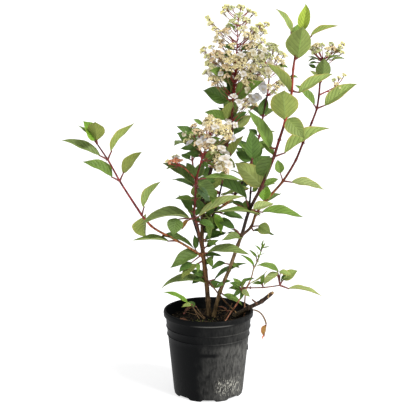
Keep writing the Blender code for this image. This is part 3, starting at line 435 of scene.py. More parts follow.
# A flower head: its axis above the leaves, the clusters at its branches' ends, its florets, and how many
# clusters it has behind. A cluster's place and spread are in millimetres, and its mood is the colour of
# its buds. A floret is one large flower of four sepals: its place in millimetres, the way it faces, its
# breadth in millimetres and its sepals' colour. A seen one of either is given as the front view shows
# it: pixels across and down, depth in millimetres, and radius or breadth in pixels.
Bloom = namedtuple("Bloom", "nodes axis clusters florets behind")
Cluster = namedtuple("Cluster", "x y z spread mood")
SeenCluster = namedtuple("SeenCluster", "across down depth radius mood")
Floret = namedtuple("Floret", "x y z facing breadth colour")
SeenFloret = namedtuple("SeenFloret", "across down depth facing breadth colour")

BLOOMS = {
    "tall": Bloom(("bloom_tall_upper", "bloom_tall_lower"), (
        (0.054, 0.020, 0.640), (0.058, 0.020, 0.719), (0.063, 0.020, 0.766), (0.067, 0.020, 0.835),
        (0.068, 0.018, 0.885), (0.070, 0.018, 0.918)), (
        SeenCluster(226, 8, 10, 4.5, "yellow"), SeenCluster(223, 13, 4, 3, "yellow"),
        SeenCluster(241, 8, -6, 4.5, "pale"), SeenCluster(232, 9, 8, 3.5, "green"),
        SeenCluster(254, 14, 6, 4, "yellow"), SeenCluster(248, 11, 12, 3, "pale"),
        SeenCluster(211, 24, 2, 3.5, "yellow"), SeenCluster(209, 20, 12, 2.5, "pale"),
        SeenCluster(239, 16, -8, 5, "green"), SeenCluster(233, 22, -10, 5.5, "green"),
        SeenCluster(245, 21, -10, 5, "pale"), SeenCluster(229, 27, -4, 3.5, "green"),
        SeenCluster(260, 27, -6, 5.5, "yellow"), SeenCluster(267, 25, 4, 4, "yellow"),
        SeenCluster(264, 33, -2, 4.5, "yellow"), SeenCluster(255, 31, -16, 4.5, "pale"),
        SeenCluster(220, 34, -14, 5.5, "cream"), SeenCluster(227, 31, -16, 4, "blush"),
        SeenCluster(214, 30, -2, 3, "yellow"), SeenCluster(246, 35, -22, 5.5, "cream"),
        SeenCluster(253, 39, -20, 5, "cream"), SeenCluster(262, 42, -10, 5, "yellow"),
        SeenCluster(241, 30, -20, 4, "pale"), SeenCluster(258, 47, -10, 4.5, "pale"),
        SeenCluster(218, 42, -14, 4.5, "cream"), SeenCluster(222, 47, -22, 3.5, "blush"),
        SeenCluster(211, 48, -6, 3, "yellow"), SeenCluster(203, 52, 2, 3, "yellow"),
        SeenCluster(207, 57, -4, 4, "pale"), SeenCluster(214, 54, -18, 4.5, "blush"),
        SeenCluster(221, 56, -24, 5, "blush"), SeenCluster(229, 53, -28, 4.5, "cream"),
        SeenCluster(213, 61, -14, 3.5, "blush"), SeenCluster(247, 48, -26, 4.5, "blush"),
        SeenCluster(236, 60, -36, 5, "cream"), SeenCluster(229, 62, -32, 4.5, "cream"),
        SeenCluster(243, 61, -36, 5, "cream"), SeenCluster(250, 57, -30, 5, "cream"),
        SeenCluster(256, 60, -20, 5, "pale"), SeenCluster(246, 67, -36, 5, "cream"),
        SeenCluster(238, 68, -38, 4.5, "cream"), SeenCluster(254, 68, -26, 4.5, "cream"),
        SeenCluster(225, 68, -30, 5, "blush"), SeenCluster(231, 70, -34, 4, "cream"),
        SeenCluster(262, 65, -8, 4.5, "pale"), SeenCluster(208, 65, -6, 3.5, "pale"),
        SeenCluster(213, 68, -12, 3, "pale"), SeenCluster(206, 73, 0, 3.5, "pale"),
        SeenCluster(259, 73, -16, 6, "pale"), SeenCluster(266, 77, -4, 4, "pale"),
        SeenCluster(249, 77, -30, 5, "cream"), SeenCluster(254, 83, -28, 5, "blush"),
        SeenCluster(245, 83, -30, 4.5, "cream"), SeenCluster(260, 80, -20, 4, "cream"),
        SeenCluster(212, 79, -16, 5.5, "cream"), SeenCluster(220, 80, -22, 4.5, "cream"),
        SeenCluster(215, 85, -20, 3.5, "blush"), SeenCluster(227, 77, -30, 3.5, "blush"),
        SeenCluster(245, 106, -30, 4, "cream"), SeenCluster(255, 106, -22, 3.5, "cream"),
        SeenCluster(250, 103, -26, 3.5, "blush"), SeenCluster(250, 56, -22, 5, "cream"),
        SeenCluster(244, 62, -30, 5, "cream"), SeenCluster(256, 64, -16, 5, "pale"),
        SeenCluster(252, 70, -20, 5, "cream"), SeenCluster(262, 60, -8, 4.5, "pale"),
        SeenCluster(234, 58, -34, 4.5, "cream"), SeenCluster(228, 62, -30, 4.5, "cream"),
        SeenCluster(222, 58, -20, 4.5, "cream"), SeenCluster(240, 78, -28, 5, "cream"),
        SeenCluster(248, 76, -22, 5, "pale"), SeenCluster(256, 80, -16, 5, "cream"),
        SeenCluster(262, 72, -8, 4.5, "pale"), SeenCluster(217, 56, -14, 4, "pale"),
        SeenCluster(226, 68, -26, 4.5, "cream"), SeenCluster(238, 66, -36, 5, "cream"),
        SeenCluster(246, 84, -26, 4.5, "cream"), SeenCluster(212, 66, -8, 3.5, "pale"),
        SeenCluster(232, 46, -24, 4, "cream"), SeenCluster(252, 46, -18, 4.5, "cream"),
        SeenCluster(260, 48, -6, 4.5, "pale"), SeenCluster(214, 80, -18, 4, "cream")), (
        Floret(75, -44, 830, (0.1, -0.5, 0.9), 22, "white"),
        Floret(59, -46, 735, (0.1, -0.6, 0.8), 19, "white"),
        Floret(71, -46, 722, (0.3, -0.6, 0.8), 20, "white"),
        Floret(45, -26, 877, (-0.3, -0.4, 0.9), 21, "white"),
        Floret(101, -36, 724, (0.3, -0.5, 0.8), 22, "white"),
        Floret(127, -24, 748, (0.4, -0.7, 0.5), 26, "shaded_white"),
        Floret(113, -30, 730, (0.3, -0.7, 0.5), 26, "shaded_white"),
        SeenFloret(268, 71, -14, (0.5, -0.8, 0.3), 10, "ivory"),
        SeenFloret(248, 90, -30, (0.3, -0.9, 0.3), 9, "ivory"),
        SeenFloret(253, 53, -36, (0.5, -0.8, 0.4), 9, "ivory"),
        SeenFloret(262, 56, -22, (0.5, -0.8, 0.3), 8, "ivory"),
        SeenFloret(210, 71, -14, (-0.5, -0.8, 0.3), 8, "ivory"),
        SeenFloret(216, 38, -18, (-0.5, -0.7, 0.5), 7, "ivory"),
        SeenFloret(257, 37, -22, (0.5, -0.7, 0.5), 8, "ivory"),
        SeenFloret(245, 27, -20, (0.3, -0.6, 0.7), 7, "ivory"),
        SeenFloret(221, 74, -28, (-0.3, -0.7, 0.6), 7, "white"),
        SeenFloret(243, 74, -44, (0.2, -0.8, 0.6), 8, "white"),
        SeenFloret(264, 50, -14, (0.5, -0.7, 0.4), 8, "ivory")), 32),
    "low": Bloom(("bloom_low",), (
        (-0.018, -0.103, 0.590), (-0.006, -0.112, 0.625), (0.002, -0.116, 0.655), (0.008, -0.116, 0.680)), (
        Cluster(8, -134, 686, 10, "cream"), Cluster(21, -132, 684, 9, "cream"),
        Cluster(0, -136, 680, 9, "cream"), Cluster(15, -142, 677, 9, "cream"),
        Cluster(28, -138, 675, 9, "cream"), SeenCluster(209, 129, -144, 4, "blush"),
        SeenCluster(214, 131, -146, 4.5, "cream"), SeenCluster(221, 131, -146, 4.5, "cream"),
        SeenCluster(226, 129, -140, 4.5, "cream"), SeenCluster(229, 134, -138, 4, "cream"),
        SeenCluster(225, 137, -142, 4.5, "cream"), SeenCluster(229, 139, -136, 3.5, "blush"),
        SeenCluster(195, 132, -130, 4, "blush"), SeenCluster(201, 133, -132, 4, "blush"),
        SeenCluster(192, 136, -128, 3, "pale"), SeenCluster(207, 137, -140, 3.5, "blush"),
        SeenCluster(200, 147, -146, 4.5, "blush"), SeenCluster(206, 146, -152, 5, "blush"),
        SeenCluster(212, 148, -154, 4, "cream"), SeenCluster(197, 144, -144, 3, "blush"),
        SeenCluster(216, 162, -142, 5, "cream"), SeenCluster(221, 168, -140, 5, "cream"),
        SeenCluster(217, 157, -140, 4, "cream"), SeenCluster(226, 171, -132, 4, "blush"),
        SeenCluster(224, 164, -140, 4, "cream"), SeenCluster(213, 153, -144, 3, "green"),
        SeenCluster(186, 141, -120, 3, "pale")), (
        Floret(14, -152, 678, (0.0, -0.5, 0.9), 22, "white"),
        Floret(46, -132, 684, (0.4, -0.4, 0.9), 18, "white"),
        SeenFloret(235, 125, -122, (0.6, -0.6, 0.5), 8, "white"),
        Floret(6, -160, 646, (0.0, -0.45, 0.9), 25, "white"),
        Floret(-21, -150, 642, (-0.3, -0.45, 0.9), 22, "white"),
        Floret(-42, -140, 640, (-0.5, -0.4, 0.9), 20, "shaded_white"),
        Floret(30, -158, 630, (0.2, -0.45, 0.9), 25, "white"),
        Floret(36, -156, 606, (0.1, -0.6, 0.8), 28, "white"),
        Floret(46, -154, 593, (0.4, -0.85, 0.3), 23, "white"),
        SeenFloret(203, 139, -142, (-0.2, -0.8, 0.5), 8, "shaded_white"),
        SeenFloret(233, 138, -122, (0.6, -0.7, 0.2), 9, "shaded_white"),
        SeenFloret(219, 168, -148, (0.2, -0.9, -0.2), 9, "ivory"),
        SeenFloret(205, 124, -136, (-0.4, -0.7, 0.6), 7, "ivory"),
        SeenFloret(184, 134, -120, (-0.6, -0.6, 0.4), 7, "ivory")), 16),
    "side": Bloom(("bloom_side",), (
        (-0.064, -0.098, 0.580), (-0.072, -0.100, 0.587), (-0.080, -0.101, 0.592)), (
        Cluster(-67, -108, 592, 7, "coral"), Cluster(-75, -110, 594, 7, "coral"),
        Cluster(-86, -106, 589, 7, "coral"), Cluster(-93, -100, 590, 5, "yellow"),
        Cluster(-80, -92, 598, 5, "pale"), Cluster(-72, -96, 600, 6, "pale")), (
        Floret(-74, -106, 600, (-0.2, -0.7, 0.7), 14, "white"),), 1),
    "centre": Bloom(("bloom_centre",), (
        (0.146, 0.150, 0.715), (0.149, 0.152, 0.745), (0.152, 0.154, 0.766), (0.153, 0.155, 0.782)), (
        SeenCluster(263, 55, 140, 3.5, "green"), SeenCluster(267, 52, 130, 4, "green"),
        SeenCluster(273, 50, 126, 4.5, "green"), SeenCluster(279, 53, 134, 4, "green"),
        SeenCluster(284, 56, 144, 3.5, "yellow"), SeenCluster(270, 58, 124, 4.5, "green"),
        SeenCluster(277, 60, 126, 4, "cream"), SeenCluster(264, 60, 132, 4, "green"),
        SeenCluster(282, 63, 134, 3.5, "cream"), SeenCluster(285, 75, 142, 3, "yellow"),
        SeenCluster(269, 88, 124, 4, "cream"), SeenCluster(276, 88, 122, 4, "cream"),
        SeenCluster(281, 85, 132, 3, "pale"), SeenCluster(273, 93, 126, 3, "green"),
        SeenCluster(278, 68, 126, 3, "green")), (
        SeenFloret(270, 64, 118, (0.1, -0.8, 0.5), 8, "ivory"),
        SeenFloret(282, 71, 124, (0.3, -0.9, 0.1), 8, "ivory"),
        Floret(133, 118, 744, (-0.3, -0.9, 0.3), 27, "shaded_white")), 8),
    "right": Bloom(("bloom_right",), (
        (0.272, 0.100, 0.770), (0.275, 0.100, 0.795), (0.278, 0.100, 0.808)), (
        SeenCluster(311, 49, 94, 3, "green"), SeenCluster(316, 46, 88, 3.5, "cream"),
        SeenCluster(319, 52, 84, 3.5, "green"), SeenCluster(322, 46, 84, 3.5, "green"),
        SeenCluster(328, 50, 82, 3.5, "cream"), SeenCluster(333, 49, 88, 3.5, "blush"),
        SeenCluster(331, 45, 90, 3, "green"), SeenCluster(338, 51, 94, 3.5, "green"),
        SeenCluster(340, 47, 98, 3, "yellow"), SeenCluster(327, 55, 82, 3, "green"),
        SeenCluster(314, 53, 90, 2.5, "green"), SeenCluster(342, 53, 98, 2.5, "yellow")),
        (), 8),
    "sprout": Bloom((), (
        (0.270, 0.100, 0.722), (0.292, 0.099, 0.733), (0.308, 0.098, 0.742)), (
        SeenCluster(336, 85, 96, 3, "cream"), Cluster(320, 94, 740, 6, "cream"),
        SeenCluster(344, 76, 98, 2.5, "yellow"), SeenCluster(339, 79, 98, 2, "yellow"),
        SeenCluster(334, 81, 98, 2.5, "green")),
        (), 0),
}

# A head that stands for two masses has its buds parted at this height, in millimetres.
HEAD_DIVIDE = 824

# Bud colours by mood: the bud, and the small opened flower among them.
MOODS = {
    "yellow": (tint(236, 230, 156), tint(250, 246, 208)),
    "pale": (tint(226, 224, 158), tint(244, 240, 206)),
    "cream": (tint(233, 218, 160), tint(248, 240, 212)),
    "blush": (tint(222, 196, 150), tint(244, 232, 206)),
    "green": (tint(196, 202, 136), tint(234, 232, 188)),
    "coral": (tint(220, 140, 102), tint(236, 204, 156)),
}
# The shaded_white sepals are white sepals painted grey, standing in for florets in shade.
SEPALS = {"white": tint(216, 212, 204), "ivory": tint(212, 206, 180), "shaded_white": tint(186, 185, 188)}

# Small leaves inside the flower heads: knot place in metres, heading, lean, length, turn and tone.
HEAD_LEAVES = (
    ((0.066, -0.004, 0.838), 160, 20, 34, 60, "dark"), ((0.070, -0.004, 0.838), 10, 20, 42, 40, "dark"),
    ((0.060, -0.010, 0.780), 150, 15, 26, 60, "dark"), ((0.046, -0.016, 0.796), 60, 30, 20, 60, "mid"),
    ((0.064, -0.012, 0.880), 130, 20, 24, 50, "mid"), ((0.086, -0.014, 0.776), -20, 20, 26, 40, "dark"),
    ((0.070, -0.012, 0.812), 30, 40, 22, 40, "mid"), ((0.020, -0.010, 0.782), -100, 20, 18, 30, "dark"),
    ((-0.030, -0.112, 0.650), 150, 0, 44, 45, "dark"), ((-0.012, -0.124, 0.660), 175, 20, 30, 30, "mid"),
    ((-0.010, -0.122, 0.676), 150, -10, 24, 50, "mid"), ((-0.020, -0.120, 0.622), 175, 10, 40, 45, "dark"),
    ((0.010, -0.130, 0.610), -10, 30, 30, 50, "dark"), ((0.000, -0.128, 0.640), 20, 30, 30, 40, "mid"),
    ((0.020, -0.120, 0.584), 170, 20, 24, 20, "bright"), ((-0.072, -0.100, 0.578), 190, 10, 22, 20, "mid"),
    ((0.139, 0.146, 0.790), 140, 20, 26, 40, "mid"), ((0.166, 0.140, 0.792), -10, 20, 28, 30, "mid"),
    ((0.150, 0.140, 0.790), 205, 20, 22, 30, "dark"), ((0.274, 0.090, 0.806), 165, 10, 34, 10, "dark"),
    ((0.280, 0.090, 0.806), 20, 10, 34, 10, "mid"), ((0.268, 0.092, 0.802), 185, 20, 22, 20, "dark"),
    ((-0.016, -0.126, 0.606), 165, 15, 34, 45, "dark"), ((-0.012, -0.130, 0.604), 22, 15, 36, 50, "mid"),
    ((-0.014, -0.128, 0.600), -60, 30, 22, 30, "dark"), ((0.000, -0.130, 0.598), 8, 20, 28, 50, "dark"),
    ((0.292, 0.088, 0.808), 5, 10, 34, 5, "mid"), ((0.262, 0.094, 0.812), 200, 10, 18, 20, "mid"),
)


# ---------------------------------------------------------------------------------------------
# What a user would change
# ---------------------------------------------------------------------------------------------

def length_property(name, description, default):
    """Return a property for a length in metres."""
    return bpy.props.FloatProperty(name=name, description=description, default=default, unit="LENGTH",
                                   precision=5)


def factor_property(name, description, default):
    """Return a property for a part of one."""
    return bpy.props.FloatProperty(name=name, description=description, default=default, min=0.0, max=1.0,
                                   subtype="FACTOR")


def angle_property(name, description, default):
    """Return a property for an angle."""
    return bpy.props.FloatProperty(name=name, description=description, default=default, subtype="ANGLE")


def number_property(name, description, default):
    """Return a property for a plain number."""
    return bpy.props.FloatProperty(name=name, description=description, default=default)


def count_property(name, description, default, least):
    """Return a property for a whole number."""
    return bpy.props.IntProperty(name=name, description=description, default=default, min=least)


def colour_property(name, description, default):
    """Return a property for a linear colour."""
    return bpy.props.FloatVectorProperty(name=name, description=description, default=default, size=3, min=0.0,
                                         max=1.0, subtype="COLOR")


class PotLooks(bpy.types.PropertyGroup):
    """The pot's plastic, dust and foot, and the soil in it."""

    plastic: colour_property("Plastic", "Colour of the clean plastic", tint(7, 8, 9))
    dust: colour_property("Dust", "Colour of the dried dust on the wall", tint(117, 116, 112))
    scuff: colour_property("Scuff", "Colour of the pale scuffs near the foot", tint(186, 184, 172))
    soil: colour_property("Soil", "Colour of the damp soil", tint(18, 15, 11))
    roughness: factor_property("Roughness", "Roughness of the clean plastic", 0.45)
    arch_height: length_property("Arch height", "Height of the arches in the pot's foot", 0.0042)
    arch_count: count_property("Arches", "How many arches the foot has", 8, 3)
    soil_relief: length_property("Soil relief", "Height of the lumps in the soil", 0.0055)


class BarkLooks(bpy.types.PropertyGroup):
    """The stems and boughs."""

    ring_spacing: length_property("Ring spacing", "Distance between rings of the bark's mesh", 0.0028)
    sides: count_property("Sides", "Sides of a stem's mesh", 14, 6)
    swelling: factor_property("Swelling", "How far a stem swells at a knot, as a part of its radius", 0.22)
    gloss: factor_property("Roughness", "Roughness of young red bark", 0.42)


class LeafLooks(bpy.types.PropertyGroup):
    """The leaves and their stalks."""

    fold: angle_property("Fold", "How far each half of a blade is lifted", math.radians(24.0))
    quilting: length_property("Quilting", "Height of the swelling between veins", 0.0013)
    ripple: length_property("Ripple", "Height of the waves in a blade's edge", 0.0011)
    thickness: length_property("Thickness", "Thickness of a blade", 0.0005)
    stalk_radius: length_property("Stalk radius", "Radius of a leaf's stalk", 0.0020)
    stalk: colour_property("Stalk", "Colour of the leaf stalks", tint(108, 46, 38))
    bud: colour_property("Bud", "Colour of the buds at the knots", tint(112, 48, 44))
    rib: number_property("Rib", "How much lighter than the blade its rib is", 1.15)


class BloomLooks(bpy.types.PropertyGroup):
    """The flower heads."""

    bud_radius: length_property("Bud radius", "Radius of a closed bud", 0.00135)
    flower_radius: length_property("Flower radius", "Radius of a small opened flower", 0.0023)
    branch: colour_property("Branch", "Colour of a head's main branches", tint(152, 50, 48))
    # The fine twigs are a dark greenish tan: partly their own colour, partly painted shade in the gaps
    # between the buds.
    twig: colour_property("Twig", "Colour of a head's fine twigs", tint(134, 116, 70))
    opened: factor_property("Opened", "The part of the buds that have opened", 0.38)


class StageLooks(bpy.types.PropertyGroup):
    """The floor, lights and camera."""

    distance: length_property("Camera distance", "How far in front of the pot the camera is", EYE_DISTANCE)
    height: length_property("Camera height", "How high the camera is", EYE_HEIGHT)
    offset: length_property("Camera offset", "How far right of the pot the camera is", EYE_OFFSET)
    tilt: angle_property("Camera tilt", "How far the camera looks down", EYE_TILT)
    lens: number_property("Lens", "Focal length in millimetres", 99.29)
    floor: colour_property("Floor", "Colour of the floor", (0.55, 0.55, 0.56))
    backdrop: colour_property("Backdrop", "Colour of the light all round", (1.0, 1.0, 1.0))
    paper_glow: number_property("Paper glow", "Light that the floor adds", 0.68)
    glow: number_property("Glow", "Strength of the light all round", 0.50)


LOOKS = {"pot": PotLooks, "bark": BarkLooks, "leaf": LeafLooks, "bloom": BloomLooks, "stage": StageLooks}


def looks(part):
    """Return the settings of one part of the shrub."""
    return getattr(bpy.context.scene, "shrub_" + part)


# ---------------------------------------------------------------------------------------------
# Finishes
# ---------------------------------------------------------------------------------------------

class Wire:
    """A value in a finish's shader tree, on which sums can be written."""

    def __init__(self, finish, socket):
        self.finish = finish
        self.socket = socket

    def maths(self, operation, *values):
        """Put a Math node on these values."""
        return self.finish.node("ShaderNodeMath", {"operation": operation}, dict(enumerate(values)))

    def __add__(self, other):
        return self.maths("ADD", self, other)

    def __radd__(self, other):
        return self.maths("ADD", other, self)

    def __sub__(self, other):
        return self.maths("SUBTRACT", self, other)

    def __rsub__(self, other):
        return self.maths("SUBTRACT", other, self)

    def __mul__(self, other):
        return self.maths("MULTIPLY", self, other)

    def __rmul__(self, other):
        return self.maths("MULTIPLY", other, self)

    def __truediv__(self, other):
        return self.maths("DIVIDE", self, other)


class Finish:
    """A material: a Principled shader with constants of its own, and the nodes that feed it."""

    def __init__(self, name, roughness, specular=0.5):
        self.material = bpy.data.materials.new(name)
        self.material.use_nodes = True
        self.tree = self.material.node_tree
        self.shader = self.tree.nodes["Principled BSDF"]
        self.shader.inputs["Roughness"].default_value = roughness
        self.shader.inputs["Specular IOR Level"].default_value = specular

    def node(self, kind, settings, sockets, output=0):
        """Add a node with its settings, then a value or a wire on each socket, and return its output."""
        made = self.tree.nodes.new(kind)
        for name, value in settings.items():
            setattr(made, name, value)
        for key, value in sockets.items():
            if isinstance(value, Wire):
                self.tree.links.new(value.socket, made.inputs[key])
            else:
                made.inputs[key].default_value = value
        return Wire(self, made.outputs[output])

    def place(self, stretch=(1.0, 1.0, 1.0)):
        """Return each point's place on the object, in metres, stretched along the axes."""
        where = self.node("ShaderNodeTexCoord", {}, {}, "Object")
        return self.node("ShaderNodeVectorMath", {"operation": "MULTIPLY"}, {0: where, 1: stretch})

    def axis(self, name):
        """Return each point's place along one axis."""
        return self.node("ShaderNodeSeparateXYZ", {}, {0: self.place()}, name)

    def spot(self, name):
        """Return one part of a leaf's own measure: X along it, Y across it, and Z a number of its own."""
        spot = self.node("ShaderNodeAttribute", {"attribute_name": SPOT}, {}, "Vector")
        return self.node("ShaderNodeSeparateXYZ", {}, {0: spot}, name)

    def cloud(self, scale, stretch=(1.0, 1.0, 1.0), detail=3.0, roughness=0.55):
        """Return a soft noise from 0 to 1. Scale is in lumps to the metre."""
        sockets = {"Vector": self.place(stretch), "Scale": scale, "Detail": detail, "Roughness": roughness}
        return self.node("ShaderNodeTexNoise", {}, sockets)

    def step(self, value, low, high):
        """Return 0 below low, 1 above high, and a smooth rise between them."""
        settings = {"interpolation_type": "SMOOTHSTEP"}
        return self.node("ShaderNodeMapRange", settings, {0: value, 1: low, 2: high, 3: 0.0, 4: 1.0})

    def blend(self, mask, first, second):
        """Return the first colour where the mask is 0 and the second where it is 1."""
        sockets = {0: mask, 6: shade(first), 7: shade(second)}
        return self.node("ShaderNodeMix", {"data_type": "RGBA"}, sockets, 2)

    def bands(self, value, stops):
        """Return a colour that runs through stops of (value, colour)."""
        low = stops[0][0]
        reach = stops[-1][0] - low
        made = self.node("ShaderNodeValToRGB", {}, {0: (value - low) / reach})
        ramp = made.socket.node.color_ramp
        for index, (level, colour) in enumerate(stops):
            spot = (level - low) / reach
            stop = ramp.elements[index] if index < 2 else ramp.elements.new(spot)
            stop.position = spot
            stop.color = shade(colour)
        return made

    def bump(self, height, depth):
        """Roughen the surface by a height from 0 to 1, times a depth in metres."""
        normal = self.node("ShaderNodeBump", {}, {"Height": height, "Distance": depth, "Strength": 1.0})
        self.feed("Normal", normal)

    def feed(self, socket, value):
        """Give the shader a value, a colour or a wire."""
        if isinstance(value, Wire):
            self.tree.links.new(value.socket, self.shader.inputs[socket])
        else:
            self.shader.inputs[socket].default_value = shade(value)


def shade(colour):
    """Return a colour as four numbers, or a wire as it is."""
    return colour if isinstance(colour, Wire) else (*colour, 1.0)


def deeper(colour, part):
    """Return a colour darkened or lightened by a factor."""
    return tuple(min(1.0, level * part) for level in colour)


def mottled_finish(name, colour, roughness, contrast, scale, depth, specular=0.5):
    """Return a finish of one colour with soft patches in it and a fine grain."""
    finish = Finish(name, roughness, specular)
    patches = finish.step(finish.cloud(scale), 0.3, 0.7)
    mottled = finish.blend(patches, deeper(colour, 1.0 - contrast), deeper(colour, 1.0 + contrast))
    finish.feed("Base Color", mottled)
    finish.bump(finish.cloud(scale * 8.0, detail=2.0), depth)
    return finish.material


def leaf_finish(name, colour, edge, roughness, veins, specular):
    """Return one face of a leaf: painted shade on one half and painted light on the other, darker along its
    veins, and turning to its edge's colour.
    """
    finish = Finish(name, roughness, specular)
    side = finish.spot("Y").maths("ABSOLUTE", finish.spot("Y"))
    wave = (finish.spot("X") - side * VEIN_SWEEP) * (VEINS * math.pi)
    swell = wave.maths("ABSOLUTE", wave.maths("SINE", wave))
    # Painted light and shade: the half of the blade at negative Y is painted darker and the other half
    # lighter, as if a fold caught the light.
    half = finish.step(finish.spot("Y"), -0.05, 0.05)
    patches = finish.step(finish.cloud(55.0), 0.3, 0.7) * 0.34 + finish.spot("Z") * 0.36 + half * 0.3
    ground = finish.blend(patches, deeper(colour, 0.72), deeper(colour, 1.28))
    margin = finish.step(side, 0.6, 1.0) * 0.22
    ground = finish.blend(margin, ground, edge)
    lines = (1.0 - finish.step(swell, 0.02, 0.34)) * (1.0 - finish.step(side, 0.80, 1.0)) * veins
    finish.feed("Base Color", finish.blend(lines, ground, deeper(colour, 0.45)))
    finish.bump(swell * 0.8 + finish.cloud(700.0, detail=2.0) * 0.25, 0.0009)
    return finish.material


def sepal_finish(name, colour):
    """Return a sepal: warmer towards its foot and darkened there by painted shade, with fine veins along it.
    """
    finish = Finish(name, 0.6, 0.2)
    # Near its foot each sepal is painted warmer, its own tint, and darker, painted shade where the sepals cup
    # together in the floret's middle.
    foot = 1.0 - finish.step(finish.spot("X"), 0.05, 0.62)
    wave = finish.spot("Y") * 13.0
    veins = finish.step(wave.maths("SINE", wave), 0.2, 0.95) * 0.22
    warm_and_shaded = (colour[0] * 0.66, colour[1] * 0.54, colour[2] * 0.36)
    ground = finish.blend(foot * 0.7 + veins, colour, warm_and_shaded)
    patches = finish.step(finish.cloud(160.0), 0.35, 0.7) * 0.25
    finish.feed("Base Color", finish.blend(patches, ground, deeper(colour, 0.72)))
    finish.bump(wave.maths("SINE", wave) * 0.5 + finish.cloud(400.0), 0.0003)
    return finish.material


def bark_finish(name, shoot, roughness):
    """Return a shoot's bark: its colours by height, broken by streaks along it."""
    finish = Finish(name, roughness, 0.2)
    grain = finish.cloud(260.0, (1.0, 1.0, 0.12), 4.0)
    wander = (finish.cloud(60.0) - 0.5) * 0.03
    colours = finish.bands(finish.axis("Z") + wander, shoot.colours)
    dark = finish.node("ShaderNodeMix", {"data_type": "RGBA", "blend_type": "MULTIPLY"},
                       {0: 1.0, 6: colours, 7: (0.26, 0.24, 0.22, 1.0)}, 2)
    streaks = finish.step(grain, 0.36, 0.60)
    finish.feed("Base Color", finish.blend(streaks, dark, colours))
    finish.bump(grain + finish.cloud(900.0, detail=2.0) * 0.4, shoot.grain * MM * 0.5)
    return finish.material


def pot_finish(settings):
    """Return the pot's black plastic, dusty on the right, with a smear, a pale patch, scuffs, and painted
    highlights along the rim's underside at the front and along the rings.
    """
    finish = Finish("pot_plastic", settings.roughness, 0.06)
    across = finish.axis("X")
    height = finish.axis("Z")
    edge = finish.cloud(30.0, (1.0, 1.0, 0.8), 4.0) * 0.05 - 0.025
    dusty = finish.step(across + edge, -0.034, -0.008)
    amount = finish.step(across, -0.01, 0.09) * 0.42 + 0.14
    amount = amount * (1.0 - finish.step(height, 0.132, 0.150) * 0.72)
    amount = amount * (1.0 - finish.step(height, 0.188, 0.196) * 0.6)
    streaks = finish.cloud(240.0, (1.0, 1.0, 0.22), 4.0, 0.65)
    film = finish.cloud(70.0, (1.0, 1.0, 0.7), 4.0, 0.65)
    grain = finish.step(streaks, 0.34, 0.68) * 0.65 + finish.step(film, 0.34, 0.66) * 0.5 + 0.16
    dust = dusty * amount * grain
    smear = finish.step(height, 0.114, 0.119) * (1.0 - finish.step(height, 0.123, 0.129))
    smear = smear * (1.0 - finish.step(across + edge, 0.014, 0.034)) * finish.step(across, -0.034, -0.022)
    dust = dust * (1.0 - smear * 0.95)
    fleck = finish.step(finish.cloud(330.0, (1.0, 1.0, 0.35), 3.0, 0.7), 0.52, 0.64)
    low = finish.step(height, 0.004, 0.02) * (1.0 - finish.step(height, 0.044, 0.066))
    beside = finish.step(across, 0.010, 0.03) * (1.0 - finish.step(across, 0.066, 0.084))
    scuffs = fleck * low * beside
    # Painted highlights: a pale line along the rim's underside at the front, and thin pale lines along the
    # rings, mixed towards the dust colour.
    front = finish.step(finish.axis("Y"), -0.088, -0.102) * finish.step(across, -0.05, 0.0)
    painted_highlight = finish.step(height, 0.1925, 0.1945) * (1.0 - finish.step(height, 0.197, 0.199)) * front * 0.45
    for ring in RING_DEPTHS:
        crest = POT_HEIGHT - ring
        line = finish.step(height, crest - 0.001, crest)
        line = line * (1.0 - finish.step(height, crest + 0.001, crest + 0.002))
        painted_highlight = painted_highlight + line * finish.step(across, -0.02, 0.05) * 0.14
    colour = finish.blend(dust + painted_highlight, settings.plastic, settings.dust)
    finish.feed("Base Color", finish.blend(scuffs * 0.9, colour, settings.scuff))
    finish.feed("Roughness", dust * 0.4 + settings.roughness)
    finish.bump(streaks * 0.6 + fleck * 0.5 * low, 0.00025)
    return finish.material


def soil_finish(name, colour, speck):
    """Return damp soil: dark, with pale specks, painted shade in the hollows between its crumbs and painted
    light on their tops.
    """
    finish = Finish(name, 0.9, 0.05)
    crumbs = finish.cloud(240.0, detail=5.0, roughness=0.65)
    specks = finish.step(finish.cloud(620.0, detail=2.0), 0.64, 0.72)
    # Painted shade and light: where the crumb relief is low the soil is painted darker, and where it is high,
    # lighter.
    ground = finish.blend(finish.step(crumbs, 0.35, 0.65), deeper(colour, 0.35), deeper(colour, 1.5))
    finish.feed("Base Color", finish.blend(specks * 0.55, ground, speck))
    finish.bump(crumbs, 0.0022)
    return finish.material


def leaf_finishes():
    """Return the list of a leaf piece's finishes, and the slot numbers of each tone's parts."""
    settings = looks("leaf")
    finishes = [
        mottled_finish("leaf_bud", tuple(settings.bud), 0.5, 0.20, 160.0, 0.0001),
        mottled_finish("leaf_stalk", tuple(settings.stalk), 0.45, 0.30, 160.0, 0.0001),
    ]
    slots = {}
    for name, tone in TONES.items():
        first = len(finishes)
        finishes.append(leaf_finish("leaf_" + name, tone.upper, tone.edge, 0.5, 0.8, 0.22))
        finishes.append(leaf_finish("leaf_" + name + "_under", tone.under, tone.edge, 0.62, 0.62, 0.15))
        finishes.append(mottled_finish("leaf_" + name + "_edge", tone.edge, 0.55, 0.10, 90.0, 0.0001, 0.3))
        rib = deeper(tone.upper, settings.rib)
        finishes.append(mottled_finish("leaf_" + name + "_rib", rib, 0.5, 0.1, 90.0, 0.0001, 0.3))
        slots[name] = (first, first + 1, first + 3, first + 2)
    return finishes, slots


# ---------------------------------------------------------------------------------------------
# Shapes
# ---------------------------------------------------------------------------------------------

